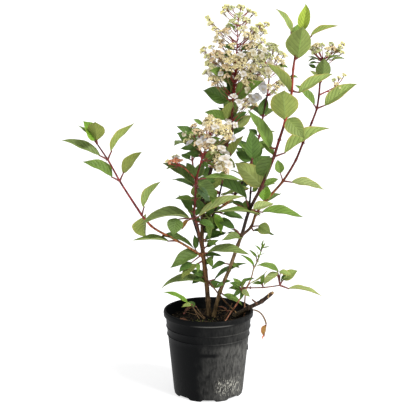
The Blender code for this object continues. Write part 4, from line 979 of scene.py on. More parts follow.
def add_piece(name, mesh, finishes, slot, stands_for=()):
    """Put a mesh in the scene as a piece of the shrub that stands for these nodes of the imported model."""
    thing = bpy.data.objects.new(name, mesh)
    bpy.context.scene.collection.objects.link(thing)
    for finish in finishes:
        mesh.materials.append(finish)
    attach(thing, BODY)
    if stands_for:
        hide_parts(*stands_for)
    return thing


def mesh_from(form, name, crease=math.radians(50.0)):
    """Turn a bmesh into a mesh, shaded smooth but for its creases."""
    mesh = bpy.data.meshes.new(name)
    form.to_mesh(mesh)
    form.free()
    mesh.shade_smooth()
    mesh.set_sharp_from_angle(angle=crease)
    return mesh


class Template:
    """A small shape made once in a bmesh, kept as arrays so that many copies of it can be joined."""

    def __init__(self, form):
        form.verts.index_update()
        self.points = np.array([vert.co[:] for vert in form.verts])
        rows = {}
        for face in form.faces:
            row = [vert.index for vert in face.verts] + [face.material_index]
            rows.setdefault(len(row), []).append(row)
        self.faces = [np.array(group) for group in rows.values()]
        form.free()


class Heap:
    """Copies of templates, gathered up to be joined as one mesh."""

    def __init__(self):
        self.points = []
        self.spots = []
        self.faces = []
        self.slots = []
        self.count = 0

    def add(self, template, points, slots, mark=0.5):
        """Add a copy with its points at new places. Slots gives the finish of each part of the template, and
        mark is a number from 0 to 1 that the finish may read."""
        for rows in template.faces:
            self.faces.extend((rows[:, :-1] + self.count).tolist())
            self.slots.extend(np.take(slots, rows[:, -1]).tolist())
        self.points.append(points)
        self.spots.append(np.column_stack((template.points[:, :2], np.full(len(points), mark))))
        self.count += len(points)

    def place(self, template, matrix, slots):
        """Add a copy that a matrix puts in place."""
        turn = np.array(matrix)
        self.add(template, template.points @ turn[:3, :3].T + turn[:3, 3], slots)

    def mesh(self, name, crease=math.radians(60.0)):
        """Join every copy as one mesh."""
        mesh = bpy.data.meshes.new(name)
        mesh.from_pydata(np.concatenate(self.points), [], self.faces)
        mesh.polygons.foreach_set("material_index", self.slots)
        spots = mesh.attributes.new(SPOT, "FLOAT_VECTOR", "POINT")
        spots.data.foreach_set("vector", np.concatenate(self.spots).ravel())
        mesh.shade_smooth()
        mesh.set_sharp_from_angle(angle=crease)
        mesh.validate()
        return mesh


def ball_template(subdivisions, squash=1.0):
    """Return a unit ball, flattened or drawn out along Z."""
    form = bmesh.new()
    shape = Matrix.Diagonal((1, 1, squash, 1))
    bmesh.ops.create_icosphere(form, subdivisions=subdivisions, radius=1.0, matrix=shape)
    return Template(form)


def rod_template(sides, rings):
    """Return a unit rod along Z, closed at both ends."""
    form = bmesh.new()
    start = bmesh.ops.create_circle(form, cap_ends=True, segments=sides, radius=1.0)
    rim = list({edge for vert in start["verts"] for edge in vert.link_edges})
    for _ in range(rings):
        rim = extrude_rim(form, rim, Matrix.Translation((0.0, 0.0, 1.0 / rings)))
    bmesh.ops.contextual_create(form, geom=rim)
    bmesh.ops.recalc_face_normals(form, faces=form.faces)
    return Template(form)


def extrude_rim(form, rim, matrix):
    """Draw a ring of edges out into a new ring, moved by a matrix, and return the new ring."""
    grown = bmesh.ops.extrude_edge_only(form, edges=rim)["geom"]
    fresh = {part for part in grown if isinstance(part, bmesh.types.BMVert)}
    bmesh.ops.transform(form, matrix=matrix, verts=list(fresh))
    return [part for part in grown if isinstance(part, bmesh.types.BMEdge) and fresh.issuperset(part.verts)]


def blade_template(columns, rows):
    """Return a thin closed blade: U runs along it from 0 to 1, V across it from -1 to 1, and Z is 0 on its
    upper face and -1 on its lower. Its parts are the upper face, lower face, middle rib and edge."""
    form = bmesh.new()
    bmesh.ops.create_grid(form, x_segments=rows, y_segments=len(columns) - 1, size=1.0)
    for vert in form.verts:
        column = round((vert.co.y + 1.0) / 2.0 * (len(columns) - 1))
        vert.co.x = (vert.co.x + 1.0) / 2.0
        vert.co.y = columns[column]
    middle = sorted(columns, key=abs)[1]
    outer = sorted(columns)[-2]
    bmesh.ops.solidify(form, geom=form.faces[:], thickness=1.0)
    top = max(vert.co.z for vert in form.verts)
    for vert in form.verts:
        vert.co.z = 0.0 if top - vert.co.z < 0.5 else -1.0
    bmesh.ops.recalc_face_normals(form, faces=form.faces)
    for face in form.faces:
        spot = abs(face.calc_center_median().y)
        if abs(face.normal.z) < 0.5 or spot > abs(outer):
            face.material_index = 3
        elif spot < abs(middle) * 0.9 and len(columns) % 2 == 0:
            face.material_index = 2
        else:
            face.material_index = 0 if face.normal.z > 0.0 else 1
    return Template(form)


def leaf_templates():
    """Return the shapes that leaves, their stalks and the buds at the knots are copies of."""
    return {"blade": blade_template(BLADE_COLUMNS, BLADE_ROWS), "stalk": rod_template(6, 7),
            "bud": ball_template(1, 1.7)}


def spin_profile(form, profile, steps):
    """Turn a section, given as points of (radius, height), all the way round Z."""
    points = [form.verts.new((radius, 0.0, height)) for radius, height in profile]
    edges = [form.edges.new(pair) for pair in zip(points, points[1:])]
    bmesh.ops.spin(form, geom=points + edges, cent=(0, 0, 0), axis=(0, 0, 1), angle=math.tau, steps=steps,
                   use_merge=True, use_duplicate=False)
    bmesh.ops.remove_doubles(form, verts=form.verts, dist=MERGE_DISTANCE)
    bmesh.ops.recalc_face_normals(form, faces=form.faces)


def stood(place, way, size):
    """Return the matrix that stands a unit shape on a place and points it a way."""
    turn = way.to_track_quat("Z", "Y").to_matrix().to_4x4()
    return Matrix.Translation(place) @ turn @ Matrix.Scale(size, 4)


def slanted(out, angle, slant, least=0.0):
    """Return a direction that leans off another by a slant from 0 to 1, at an angle round it."""
    side = out.orthogonal().normalized()
    across = out.cross(side)
    upright = math.sqrt(max(least, 1.0 - slant * slant))
    return out * upright + (side * math.cos(angle) + across * math.sin(angle)) * slant


def smooth_path(route, spacing, slack=0.8):
    """Return points about this far apart along a smooth curve through a route, each with its knot number."""
    places = [Vector(point) for point in route]
    reaches = [(after - before).length for before, after in zip(places, places[1:])]
    slopes = [(places[1] - places[0]) / reaches[0]]
    for index in range(1, len(places) - 1):
        before = (places[index] - places[index - 1]) / reaches[index - 1]
        after = (places[index + 1] - places[index]) / reaches[index]
        share = reaches[index - 1] / (reaches[index - 1] + reaches[index])
        slopes.append(before.lerp(after, share) * slack)
    slopes.append((places[-1] - places[-2]) / reaches[-1])
    path = []
    for index, reach in enumerate(reaches):
        steps = max(2, round(reach / spacing))
        for step in range(steps):
            part = step / steps
            leaving, arriving = slopes[index] * reach, slopes[index + 1] * reach
            curve = hermite(places[index], places[index + 1], leaving, arriving, part)
            path.append((curve, index + part))
    path.append((places[-1], float(len(reaches))))
    return path


def hermite(start, end, leaving, arriving, part):
    """Return a point on the cubic between two points with these directions at its ends."""
    square = part * part
    cube = square * part
    return (start * (2.0 * cube - 3.0 * square + 1.0) + leaving * (cube - 2.0 * square + part)
            + end * (3.0 * square - 2.0 * cube) + arriving * (cube - square))


def ring_frames(points, radii):
    """Return a matrix for each point of a path: Z along it, X without twist, and scaled by the radius."""
    frames = []
    side = (points[1] - points[0]).orthogonal()
    for index, (point, radius) in enumerate(zip(points, radii)):
        after = points[min(index + 1, len(points) - 1)]
        before = points[max(index - 1, 0)]
        along = (after - before).normalized()
        side = (side - along * side.dot(along)).normalized()
        axes = Matrix((side, along.cross(side), along)).transposed().to_4x4()
        frames.append(Matrix.Translation(point) @ axes @ Matrix.Scale(radius, 4))
    return frames


def knot_place(name, knot):
    """Return the place of a knot number on a shoot, which may lie between two knots."""
    route = SHOOTS[name].route
    index = min(int(knot), len(route) - 2)
    return Vector(route[index]).lerp(Vector(route[index + 1]), knot - index)


def bark_tube(name, shoot, settings):
    """Return a limb's mesh: a grained, tapered tube that swells at its knots and flares at a rooted foot."""
    path = smooth_path(shoot.route, settings.ring_spacing)
    points = [point for point, _ in path]
    if shoot.rooted:
        points[0] = points[0] - (points[1] - points[0]).normalized() * ROOT_DEPTH
    marks = np.array([0.0] + [(after - before).length for before, after in zip(points, points[1:])]).cumsum()
    knots = [marks[index] for index, (_, knot) in enumerate(path) if knot == int(knot) and 0.0 < knot]
    radii = []
    for mark in marks:
        radius = shoot.foot + (shoot.tip - shoot.foot) * mark / marks[-1]
        if shoot.rooted:
            radius *= 1.0 + FLARE * math.exp(-mark / FLARE_LENGTH)
        for knot in knots[:-1]:
            radius *= 1.0 + settings.swelling * math.exp(-(((mark - knot) / SWELLING_LENGTH) ** 2))
        radii.append(radius)
    radii[-1] *= 0.7
    frames = ring_frames(points, radii)
    form = bmesh.new()
    start = bmesh.ops.create_circle(form, cap_ends=True, segments=settings.sides, radius=1.0,
                                    matrix=frames[0])
    rim = list({edge for vert in start["verts"] for edge in vert.link_edges})
    rings = [start["verts"]]
    for before, after in zip(frames, frames[1:]):
        rim = extrude_rim(form, rim, after @ before.inverted())
        rings.append(list({vert for edge in rim for vert in edge.verts}))
    bmesh.ops.contextual_create(form, geom=rim)
    offset = Vector((len(name) * 3.1, 0.0, 0.0))
    for ring, matrix, mark, radius in zip(rings, frames, marks, radii):
        unturned = matrix.inverted()
        for vert in ring:
            spot = unturned @ vert.co
            coarse = noise.noise(Vector((spot.x * 1.7, spot.y * 1.7, mark * 38.0)) + offset)
            ridges = 0.5 - abs(noise.noise(Vector((spot.x * 3.4, spot.y * 3.4, mark * 70.0)) + offset))
            shift = shoot.grain * MM * (0.7 * coarse + 0.6 * ridges) * min(1.0, radius / 0.003)
            vert.co += (vert.co - matrix.translation) / radius * shift
    bmesh.ops.recalc_face_normals(form, faces=form.faces)
    return mesh_from(form, name)


def along_curve(points, start, bend, end, foot, tip):
    """Lay a unit rod's points along a curve that leaves start towards bend and arrives at end."""
    part = points[:, 2:3]
    start, bend, end = np.array(start), np.array(bend), np.array(end)
    middle = start * (1.0 - part) ** 2 + bend * 2.0 * part * (1.0 - part) + end * part ** 2
    along = (bend - start) * (1.0 - part) + (end - bend) * part
    along = along / np.maximum(np.linalg.norm(along, axis=1, keepdims=True), 1e-9)
    whole = Vector(end - start)
    side = np.array(whole.orthogonal().normalized())
    side = side - along * (along @ side)[:, None]
    side = side / np.linalg.norm(side, axis=1, keepdims=True)
    across = np.cross(along, side)
    radius = foot + (tip - foot) * part
    return middle + side * points[:, 0:1] * radius + across * points[:, 1:2] * radius


def leaf_axes(heading, lean, turn):
    """Return a leaf's direction, its breadth's direction and its upper face's, as three columns."""
    heading, lean, turn = math.radians(heading), math.radians(lean), math.radians(turn)
    along = Vector((math.cos(lean) * math.cos(heading), -math.sin(lean), math.cos(lean) * math.sin(heading)))
    side = along.cross(UP).normalized()
    if side.y > 0.0:
        side.negate()
    upper = (UP - along * along.z).normalized()
    face = upper * math.cos(turn) + side * math.sin(turn)
    return Matrix((along, face.cross(along), face)).transposed()


def blade_outline(part):
    """Return a leaf's half breadth from its base at 0 to its drawn-out tip at 1, greatest at 1."""
    rise = 1.0 - (1.0 - np.minimum(part / WIDEST, 1.0)) ** 2.3
    past = np.maximum((part - WIDEST) / (1.0 - WIDEST), 0.0)
    fall = (1.0 - past) * (1.0 + past - 0.24 * past ** 2) * (1.0 - 0.5 * past ** 5)
    return np.maximum(rise * fall, 0.012)


def blade_points(template, leaf, settings, chance):
    """Return the points of one leaf's blade, with its base at the origin and its tip along +X."""
    part, across, layer = template.points.T
    length = leaf.length * MM
    half = length * leaf.breadth / 2.0 * blade_outline(part)
    side = np.abs(across)
    rows = np.round(part * BLADE_ROWS)
    half = half * (1.0 + TEETH * (side > 0.99) * (rows % 2.0))
    fold = settings.fold * chance.uniform(0.6, 1.4)
    y = across * half * math.cos(fold)
    z = side * half * math.sin(fold)
    vein = np.sin(math.pi * VEINS * (part - VEIN_SWEEP * side)) ** 2
    scale = min(1.0, length / FULL_LENGTH)
    quilting = settings.quilting * scale * (vein - 0.4) * 4.0 * side * (1.0 - side)
    z = z + quilting * np.minimum(1.0, half / 0.006)
    swing = chance.uniform(0.0, math.tau)
    waves = np.sin(math.tau * part * EDGE_WAVES + swing + (across > 0.0) * 1.9)
    z = z + settings.ripple * scale * waves * side ** 2 * np.sin(math.pi * part)
    rib = np.exp(-((across / RIB_BREADTH) ** 2)) * (1.0 - part * 0.8)
    z = z - (layer < -0.5) * rib * 0.0009 * scale - (layer > -0.5) * rib * 0.0003 * scale
    twist = math.radians(chance.uniform(-14.0, 14.0)) * (part - 0.2)
    y, z = y * np.cos(twist) - z * np.sin(twist), y * np.sin(twist) + z * np.cos(twist)
    curl = math.radians(max(abs(leaf.curl), 2.0)) * math.copysign(1.0, leaf.curl)
    bend = curl * (part - 0.5)
    reach = length / (2.0 * math.sin(curl / 2.0))
    z = z + layer * settings.thickness
    along = reach * (np.sin(bend) + math.sin(curl / 2.0)) + z * np.sin(bend)
    rise = reach * (np.cos(bend) - math.cos(curl / 2.0)) + z * np.cos(bend)
    drift = math.radians(chance.uniform(-9.0, 9.0)) * part ** 2
    y = y + along * np.sin(drift) * np.sin(math.pi * part * 0.999)
    return np.column_stack((along, y, rise))


def add_leaf(heap, leaf, slots, chance, knot_point, templates):
    """Add one leaf and its stalk to a heap, grown from a knot."""
    settings = looks("leaf")
    axes = leaf_axes(leaf.heading, leaf.lean, leaf.turn)
    stalk_way = leaf_axes(leaf.swing, leaf.lean * 0.6, 0.0).col[0]
    foot = knot_point + stalk_way * leaf.stalk * MM
    along = axes.col[0]
    if leaf.stalk > 0:
        bend = knot_point.lerp(foot, 0.65) + UP * 0.0006
        end = foot + along * 0.004 - axes.col[2] * 0.0006
        radius = settings.stalk_radius * min(1.0, 0.55 + leaf.length / 140.0)
        rod = templates["stalk"]
        stalk = along_curve(rod.points, knot_point, bend, end, radius * 1.25, radius * 0.75)
        heap.add(rod, stalk, (STALK_SLOT,))
    blade = blade_points(templates["blade"], leaf, settings, chance)
    heap.add(templates["blade"], blade @ np.array(axes).T + np.array(foot), slots[leaf.tone], chance.random())


def nearest_five(value):
    """Return a number rounded to a multiple of five."""
    return 5 * round(value / 5.0)


def placed_leaf(name, seen):
    """Return a leaf of a shoot in its own terms, from how the front view shows it."""
    if isinstance(seen, Leaf):
        return seen
    knot = knot_place(name, seen.knot)
    base = Vector(seen_place(*seen.base, knot.y))
    lean = math.radians(seen.lean)
    length = 0.05
    for _ in range(20):
        tip = Vector(seen_place(*seen.tip, knot.y - length * math.sin(lean)))
        span = math.hypot(tip.x - base.x, tip.z - base.z) / math.cos(lean)
        length = min(max(span, 0.005), 0.2)
    heading = math.degrees(math.atan2(tip.z - base.z, tip.x - base.x))
    view = (Vector((EYE_OFFSET, -EYE_DISTANCE, EYE_HEIGHT)) - base).normalized()
    openness = seen_size(seen.width, knot.y) / (seen.breadth * max(length, 0.02))
    wanted = min(0.98, openness) * seen.shows

    def miss(turn):
        face = leaf_axes(heading, seen.lean, turn).col[2]
        return abs(face.dot(view) - wanted) + abs(turn) * 0.0004

    stalk = base - knot
    swing = math.degrees(math.atan2(stalk.z, stalk.x))
    turn = min(range(-120, 121, 5), key=miss)
    return Leaf(seen.knot, nearest_five(stalk.length / MM), nearest_five(swing), nearest_five(heading),
                seen.lean, nearest_five(length / MM), turn, seen.tone, seen.curl, seen.breadth)


def plain_leaf(heading, lean, length, turn, tone, knot=0, stalk=5, swing=None):
    """Return a small leaf whose stalk points the way that the leaf does."""
    return Leaf(knot, stalk, heading if swing is None else swing, heading, lean, length, turn, tone)


def crook_leaves(name, chance):
    """Return the small seeded leaves in the crooks of a shoot's knots, most of them turned to the back."""
    first, last, count = CROOKS[name]
    leaves = []
    for knot in range(first, last):
        for _ in range(count):
            heading = chance.uniform(-30.0, 210.0)
            lean = -chance.uniform(25.0, 75.0)
            length = chance.uniform(24.0, 44.0)
            tone = chance.choice(("dark", "mid", "dark", "olive"))
            leaves.append(plain_leaf(heading, lean, length, chance.uniform(-20.0, 40.0), tone, knot, 8))
    return leaves


def add_bud(heap, template, place, way, size):
    """Add a pointed bud that stands on a place and points a way."""
    heap.place(template, stood(place + way * size, way, size), (BUD_SLOT,))


def sepal_points(template, breadth, chance):
    """Return the points of one sepal of a floret, lying along +X from the floret's middle."""
    part, across, layer = template.points.T
    reach = breadth / 2.0 * chance.uniform(0.9, 1.08)
    half = reach * 0.52 * np.sin(math.pi * np.clip(part, 0.0, 1.0) ** 0.85 * 0.97 + 0.03) ** 0.55
    x = part * reach
    y = across * half
    droop = chance.uniform(0.2, 1.2)
    z = reach * (0.16 * part - 0.26 * part ** 3 * droop + 0.34 * (across * half / reach) ** 2)
    z = z + reach * 0.025 * np.sin(across * 7.0) * part + layer * 0.00035
    return np.column_stack((x, y, z))


def add_floret(heap, templates, floret, slots, chance):
    """Add a flower of four sepals round a small eye."""
    way = Vector(floret.facing).normalized()
    place = Vector((floret.x, floret.y, floret.z)) * MM
    turn = np.array(way.to_track_quat("Z", "Y").to_matrix())
    spin = chance.uniform(0.0, math.tau)
    breadth = floret.breadth * MM
    for index in range(4):
        angle = spin + index * math.tau / 4.0 + chance.uniform(-0.16, 0.16)
        roll = np.array(Matrix.Rotation(angle, 3, "Z"))
        lift = np.array(Matrix.Rotation(chance.uniform(-0.22, 0.10), 3, "Y"))
        points = sepal_points(templates["sepal"], breadth, chance) @ lift.T @ roll.T
        points[:, 2] += (index % 2) * 0.0006
        heap.add(templates["sepal"], points @ turn.T + np.array(place), (slots, slots, slots, slots))
    return place, way


def flower_template():
    """Return a small opened flower: five pointed petals spread round a dome of stamens."""
    form = bmesh.new()
    dome = bmesh.ops.create_icosphere(form, subdivisions=1, radius=0.34)
    for vert in dome["verts"]:
        vert.co.z = vert.co.z * 1.2 + 0.2
    for index in range(5):
        petal = bmesh.ops.create_cone(form, cap_ends=True, segments=4, radius1=0.30, radius2=0.0, depth=0.85)
        flat = Matrix.Diagonal((0.35, 1.0, 1.0, 1.0))
        out = Matrix.Rotation(index * math.tau / 5.0, 4, "Z") @ Matrix.Rotation(math.radians(76.0), 4, "Y")
        spread = out @ Matrix.Translation((0.0, 0.0, 0.55)) @ flat
        bmesh.ops.transform(form, matrix=spread, verts=petal["verts"])
        for vert in petal["verts"]:
            for face in vert.link_faces:
                face.material_index = 1
    return Template(form)


def placed(seen):
    """Return a cluster or floret in millimetres, from how the front view shows it."""
    if isinstance(seen, (Cluster, Floret)):
        return seen
    x, y, z = (round(value / MM) for value in seen_place(seen.across, seen.down, seen.depth * MM))
    if isinstance(seen, SeenFloret):
        return Floret(x, y, z, seen.facing, round(seen_size(seen.breadth, seen.depth * MM) / MM), seen.colour)
    return Cluster(x, y, z, round(seen_size(seen.radius, seen.depth * MM) / MM), seen.mood)


class HeadMaker:
    """Grows one flower head's branches, buds and florets from its clusters."""

    # The slopes down which branches and florets' stalks reach the axis, how long the stout part of a branch
    # is, the radii of each kind of twig at its foot and tip, and the finishes of branches and fine twigs.
    BRANCH_SLOPE = 0.75
    FLORET_SLOPE = 0.5
    BRANCH_LENGTH = 0.030
    AXIS_RADII = (0.0021, 0.0010)
    BRANCH_RADII = (0.0012, 0.0009)
    TWIG_RADII = (0.0008, 0.0006)
    FLORET_STALK_RADII = (0.0007, 0.0005)
    DOME_STALK_RADII = (0.0006, 0.0004)
    BUD_STALK_RADII = (0.0003, 0.0002)
    EYE_RADIUS = 0.0011
    BRANCH_SLOT = 0
    TWIG_SLOT = 1

    def __init__(self, bloom, templates, chance):
        self.bloom = bloom
        self.clusters = tuple(placed(cluster) for cluster in bloom.clusters)
        self.florets = tuple(placed(floret) for floret in bloom.florets)
        self.templates = templates
        self.chance = chance
        self.settings = looks("bloom")
        self.parts = [Heap() for node in bloom.nodes] or [Heap()]
        self.buds = self.parts[0]
        self.twigs = Heap()
        self.sepals = Heap()
        self.moods = list(MOODS)
        self.axis = [Vector(point) for point in bloom.axis]

    def grow(self):
        """Grow the whole head."""
        self.grow_axis()
        for cluster in self.clusters + tuple(self.clusters_behind()):
            self.buds = self.parts[0] if cluster.z > HEAD_DIVIDE else self.parts[-1]
            self.grow_cluster(cluster)
        colours = list(SEPALS)
        for floret in self.florets + tuple(self.florets_behind()):
            slot = colours.index(floret.colour)
            place, way = add_floret(self.sepals, self.templates, floret, slot, self.chance)
            self.add_ball(place + way * 0.0010, self.EYE_RADIUS, len(colours), self.sepals)
            foot = self.foot_below(place, self.FLORET_SLOPE)
            self.add_twig(foot, place, self.FLORET_STALK_RADII, self.TWIG_SLOT)

    def grow_axis(self):
        """Grow the head's axis, tapering to its top."""
        radii = np.linspace(*self.AXIS_RADII, len(self.axis))
        rod = self.templates["twig"]
        for start, end, foot, tip in zip(self.axis, self.axis[1:], radii, radii[1:]):
            points = along_curve(rod.points, start, start.lerp(end, 0.5), end, foot, tip)
            self.twigs.add(rod, points, (self.BRANCH_SLOT,))

    def clusters_behind(self):
        """Return seeded clusters for the back of the head, as far out as those in front."""
        fronts = self.clusters
        middle = self.axis[0].lerp(self.axis[-1], 0.5).y / MM
        for index in range(self.bloom.behind):
            like = fronts[(index * 5 + 2) % len(fronts)]
            x = like.x + self.chance.uniform(-8.0, 8.0)
            z = like.z + self.chance.uniform(-6.0, 6.0)
            depth = abs(middle - like.y) * self.chance.uniform(0.5, 1.0) + 8.0
            yield Cluster(x, middle + depth, z, like.spread, like.mood)

    def florets_behind(self):
        """Return seeded florets for the back of the head."""
        fronts = self.florets
        middle = self.axis[0].lerp(self.axis[-1], 0.5).y / MM
        for index in range(self.bloom.behind // 3 if fronts else 0):
            like = fronts[(index * 3 + 1) % len(fronts)]
            facing = (like.facing[0], -like.facing[1], like.facing[2] + 0.2)
            depth = abs(middle - like.y) * 0.85
            yield Floret(like.x, middle + depth, like.z, facing, like.breadth, like.colour)

    def foot_below(self, place, slope):
        """Return the point of the axis that a branch to a place leaves from."""
        nearest = min(self.axis, key=lambda point: abs(point.z - place.z))
        sideways = math.hypot(place.x - nearest.x, place.y - nearest.y)
        height = place.z - sideways * slope
        if height <= self.axis[0].z:
            return self.axis[0].copy()
        for before, after in zip(self.axis, self.axis[1:]):
            if height <= after.z:
                return before.lerp(after, (height - before.z) / (after.z - before.z))
        return self.axis[-1].copy()

    def add_twig(self, start, end, radii, slot, template="twig"):
        """Add a twig that leaves outwards and turns up to its end."""
        bend = start.lerp(end, 0.55) - UP * (end - start).length * 0.12
        rod = self.templates[template]
        self.twigs.add(rod, along_curve(rod.points, start, bend, end, *radii), (slot,))

    def add_ball(self, place, radius, slot, heap):
        """Add a small ball."""
        matrix = Matrix.Translation(place) @ Matrix.Scale(radius, 4)
        heap.place(self.templates["bud"], matrix, (slot,))

    def grow_cluster(self, cluster):
        """Grow a branch, its side twigs, and a dome of buds and small flowers on each."""
        place = Vector((cluster.x, cluster.y, cluster.z)) * MM
        foot = self.foot_below(place, self.BRANCH_SLOPE)
        stout = min(1.0, self.BRANCH_LENGTH / max(0.001, (place - foot).length))
        middle = foot.lerp(place, stout) - UP * 0.002
        self.add_twig(foot, middle, self.BRANCH_RADII, self.BRANCH_SLOT)
        self.add_twig(middle, place, self.TWIG_RADII, self.TWIG_SLOT)
        out = place - foot
        out = (out.normalized() * 0.6 + UP * 0.6).normalized() if out.length > 0.002 else UP.copy()
        spread = cluster.spread * MM
        domes = max(3, round(cluster.spread * 0.85))
        for index in range(domes):
            angle = index * GOLDEN_ANGLE + self.chance.uniform(-0.4, 0.4)
            way = slanted(out, angle, math.sqrt((index + 0.5) / domes), 0.05)
            end = place + way * spread * self.chance.uniform(0.55, 1.0) - out * spread * 0.35
            root = foot.lerp(place, self.chance.uniform(0.70, 1.0))
            slot = self.chance.choice((self.BRANCH_SLOT, self.TWIG_SLOT, self.TWIG_SLOT))
            self.add_twig(root, end, self.DOME_STALK_RADII, slot, "pedicel")
            self.grow_dome(end, (way + out).normalized(), cluster.mood)

    def grow_dome(self, place, out, mood):
        """Grow a dome of buds and small flowers round the end of a twig."""
        slot = self.moods.index(mood) * 2
        count = self.chance.randint(7, 10)
        for index in range(count):
            angle = index * GOLDEN_ANGLE + self.chance.uniform(-0.3, 0.3)
            way = slanted(out, angle, math.sqrt((index + 0.3) / count) * 0.95)
            end = place + way * self.settings.bud_radius * self.chance.uniform(1.8, 3.2)
            self.add_twig(place - out * 0.002, end, self.BUD_STALK_RADII, self.TWIG_SLOT, "pedicel")
            if self.chance.random() < self.settings.opened:
                size = self.settings.flower_radius * self.chance.uniform(0.75, 1.1)
                self.buds.place(self.templates["flower"], stood(end, way, size), (slot, slot + 1))
            else:
                size = self.settings.bud_radius * self.chance.uniform(0.7, 1.1)
                self.add_ball(end, size, slot, self.buds)


# ---------------------------------------------------------------------------------------------
# Operators
# ---------------------------------------------------------------------------------------------

class ShrubMaker:
    """What every operator here shares."""

    bl_options = {"REGISTER", "UNDO"}

    def execute(self, context):
        self.make()
        return {"FINISHED"}


def arc(centre, radius, start, end, steps):
    """Return points of (radius, height) along an arc, with its angles in degrees up from outwards."""
    angles = np.radians(np.linspace(start, end, steps))
    return [(centre[0] + radius * math.cos(angle), centre[1] + radius * math.sin(angle)) for angle in angles]


def wall_radius(height):
    """Return the outer radius of the pot's tapered wall at a height."""
    return FOOT_RADIUS + (NECK_RADIUS - FOOT_RADIUS) * height / (POT_HEIGHT - NECK_DEPTH)


class SHRUB_OT_make_pot(ShrubMaker, bpy.types.Operator):
    """Turn the pot, with its rolled rim, rings and arched foot"""

    bl_idname = "shrub.make_pot"
    bl_label = "Make Pot"

    SEGMENTS = 192
    SUNK_FLOOR = 0.0075
    # Half an arch of the foot and the slope at its end, as parts of the way from one arch to the next.
    ARCH_HALF = 0.31
    ARCH_SLOPE = 0.12
    WOBBLE = 0.0022
    TAB_SIZE = (0.0022, 0.009, 0.012)
    TAB_HEIGHT = 0.115
    TAB_ANGLE = math.radians(-6.0)

    def profile(self):
        """Return the pot's section from the middle of its floor, up the inside, over the rim and down."""
        neck_bottom = POT_HEIGHT - NECK_DEPTH
        rim_bottom = POT_HEIGHT - RIM_DEPTH
        roll = 0.0028
        inside = [(0.0, self.SUNK_FLOOR + WALL), (FOOT_RADIUS - WALL - 0.004, self.SUNK_FLOOR + WALL),
                  (FOOT_RADIUS - WALL, self.SUNK_FLOOR + WALL + 0.004), (NECK_RADIUS - WALL, neck_bottom),
                  (NECK_RADIUS - WALL + 0.001, rim_bottom), (RIM_RADIUS - 0.0062, POT_HEIGHT - 0.0035)]
        lip = arc((RIM_RADIUS - roll - 0.0006, POT_HEIGHT - roll), roll, 150.0, 0.0, 9)
        skirt = [(RIM_RADIUS, POT_HEIGHT - 0.006), (RIM_RADIUS - 0.0004, rim_bottom + 0.003)]
        tuck = arc((RIM_RADIUS - 0.0024, rim_bottom + 0.0018), 0.0020, 0.0, -90.0, 5)
        neck = [(NECK_RADIUS + 0.0016, rim_bottom - 0.0004), (NECK_RADIUS + 0.0006, rim_bottom - 0.002),
                (NECK_RADIUS + 0.0002, neck_bottom)]
        rings = []
        for depth in RING_DEPTHS:
            top = POT_HEIGHT - depth
            rings += [(wall_radius(top) + 0.0004, top + 0.003)]
            rings += arc((wall_radius(top), top), 0.0017, 70.0, -70.0, 7)
            rings += [(wall_radius(top) - 0.0007, top - 0.0032)]
        wall = [(wall_radius(height) - 0.0004, height) for height in np.linspace(0.135, 0.012, 12)]
        foot = [(FOOT_RADIUS + 0.0004, 0.0075), (FOOT_RADIUS, 0.004), (FOOT_RADIUS - 0.0004, 0.0006),
                (FOOT_RADIUS - 0.0010, 0.0), (FOOT_RADIUS - WALL, 0.0), (FOOT_RADIUS - WALL - 0.0003, 0.0012),
                (FOOT_RADIUS - WALL - 0.001, self.SUNK_FLOOR), (0.0, self.SUNK_FLOOR)]
        return inside + lip + skirt + tuck + neck + rings + wall + foot

    def make(self):
        settings = looks("pot")
        form = bmesh.new()
        spin_profile(form, self.profile(), self.SEGMENTS)
        for vert in form.verts:
            radius = math.hypot(vert.co.x, vert.co.y)
            if radius < FOOT_RADIUS - WALL - 0.0005:
                continue
            angle = math.atan2(vert.co.y, vert.co.x) + math.pi / 2.0
            if vert.co.z < self.SUNK_FLOOR:
                turn = (angle * settings.arch_count / math.tau + 0.5) % 1.0 - 0.5
                rise = min(1.0, max(0.0, (self.ARCH_HALF - abs(turn)) / self.ARCH_SLOPE))
                lift = settings.arch_height * rise * rise * (3.0 - 2.0 * rise)
                vert.co.z = lift + vert.co.z * (1.0 - lift / self.SUNK_FLOOR)
            spot = Vector((math.cos(angle), math.sin(angle), vert.co.z * 9.0))
            wobble = 1.0 + self.WOBBLE * noise.noise(spot)
            vert.co.x *= wobble
            vert.co.y *= wobble
        mesh = mesh_from(form, "pot_shell", math.radians(35.0))
        add_piece("pot_shell", mesh, [pot_finish(settings)], "pot_plastic", ("pot",))
        self.make_tab()

    def make_tab(self):
        """Make the small moulded tab at the pot's right."""
        form = bmesh.new()
        bmesh.ops.create_cube(form, size=1.0, matrix=Matrix.Diagonal((*self.TAB_SIZE, 1.0)))
        bmesh.ops.bevel(form, geom=form.edges[:], offset=0.0007, segments=2, affect="EDGES", profile=0.5,
                        material=-1)
        seat = Matrix.Translation((wall_radius(self.TAB_HEIGHT) + 0.0002, 0.0, self.TAB_HEIGHT))
        place = Matrix.Rotation(self.TAB_ANGLE, 4, "Z") @ seat
        bmesh.ops.transform(form, matrix=place, verts=form.verts)
        add_piece("pot_tab", mesh_from(form, "pot_tab"), [bpy.data.materials["pot_plastic"]], "pot_plastic")


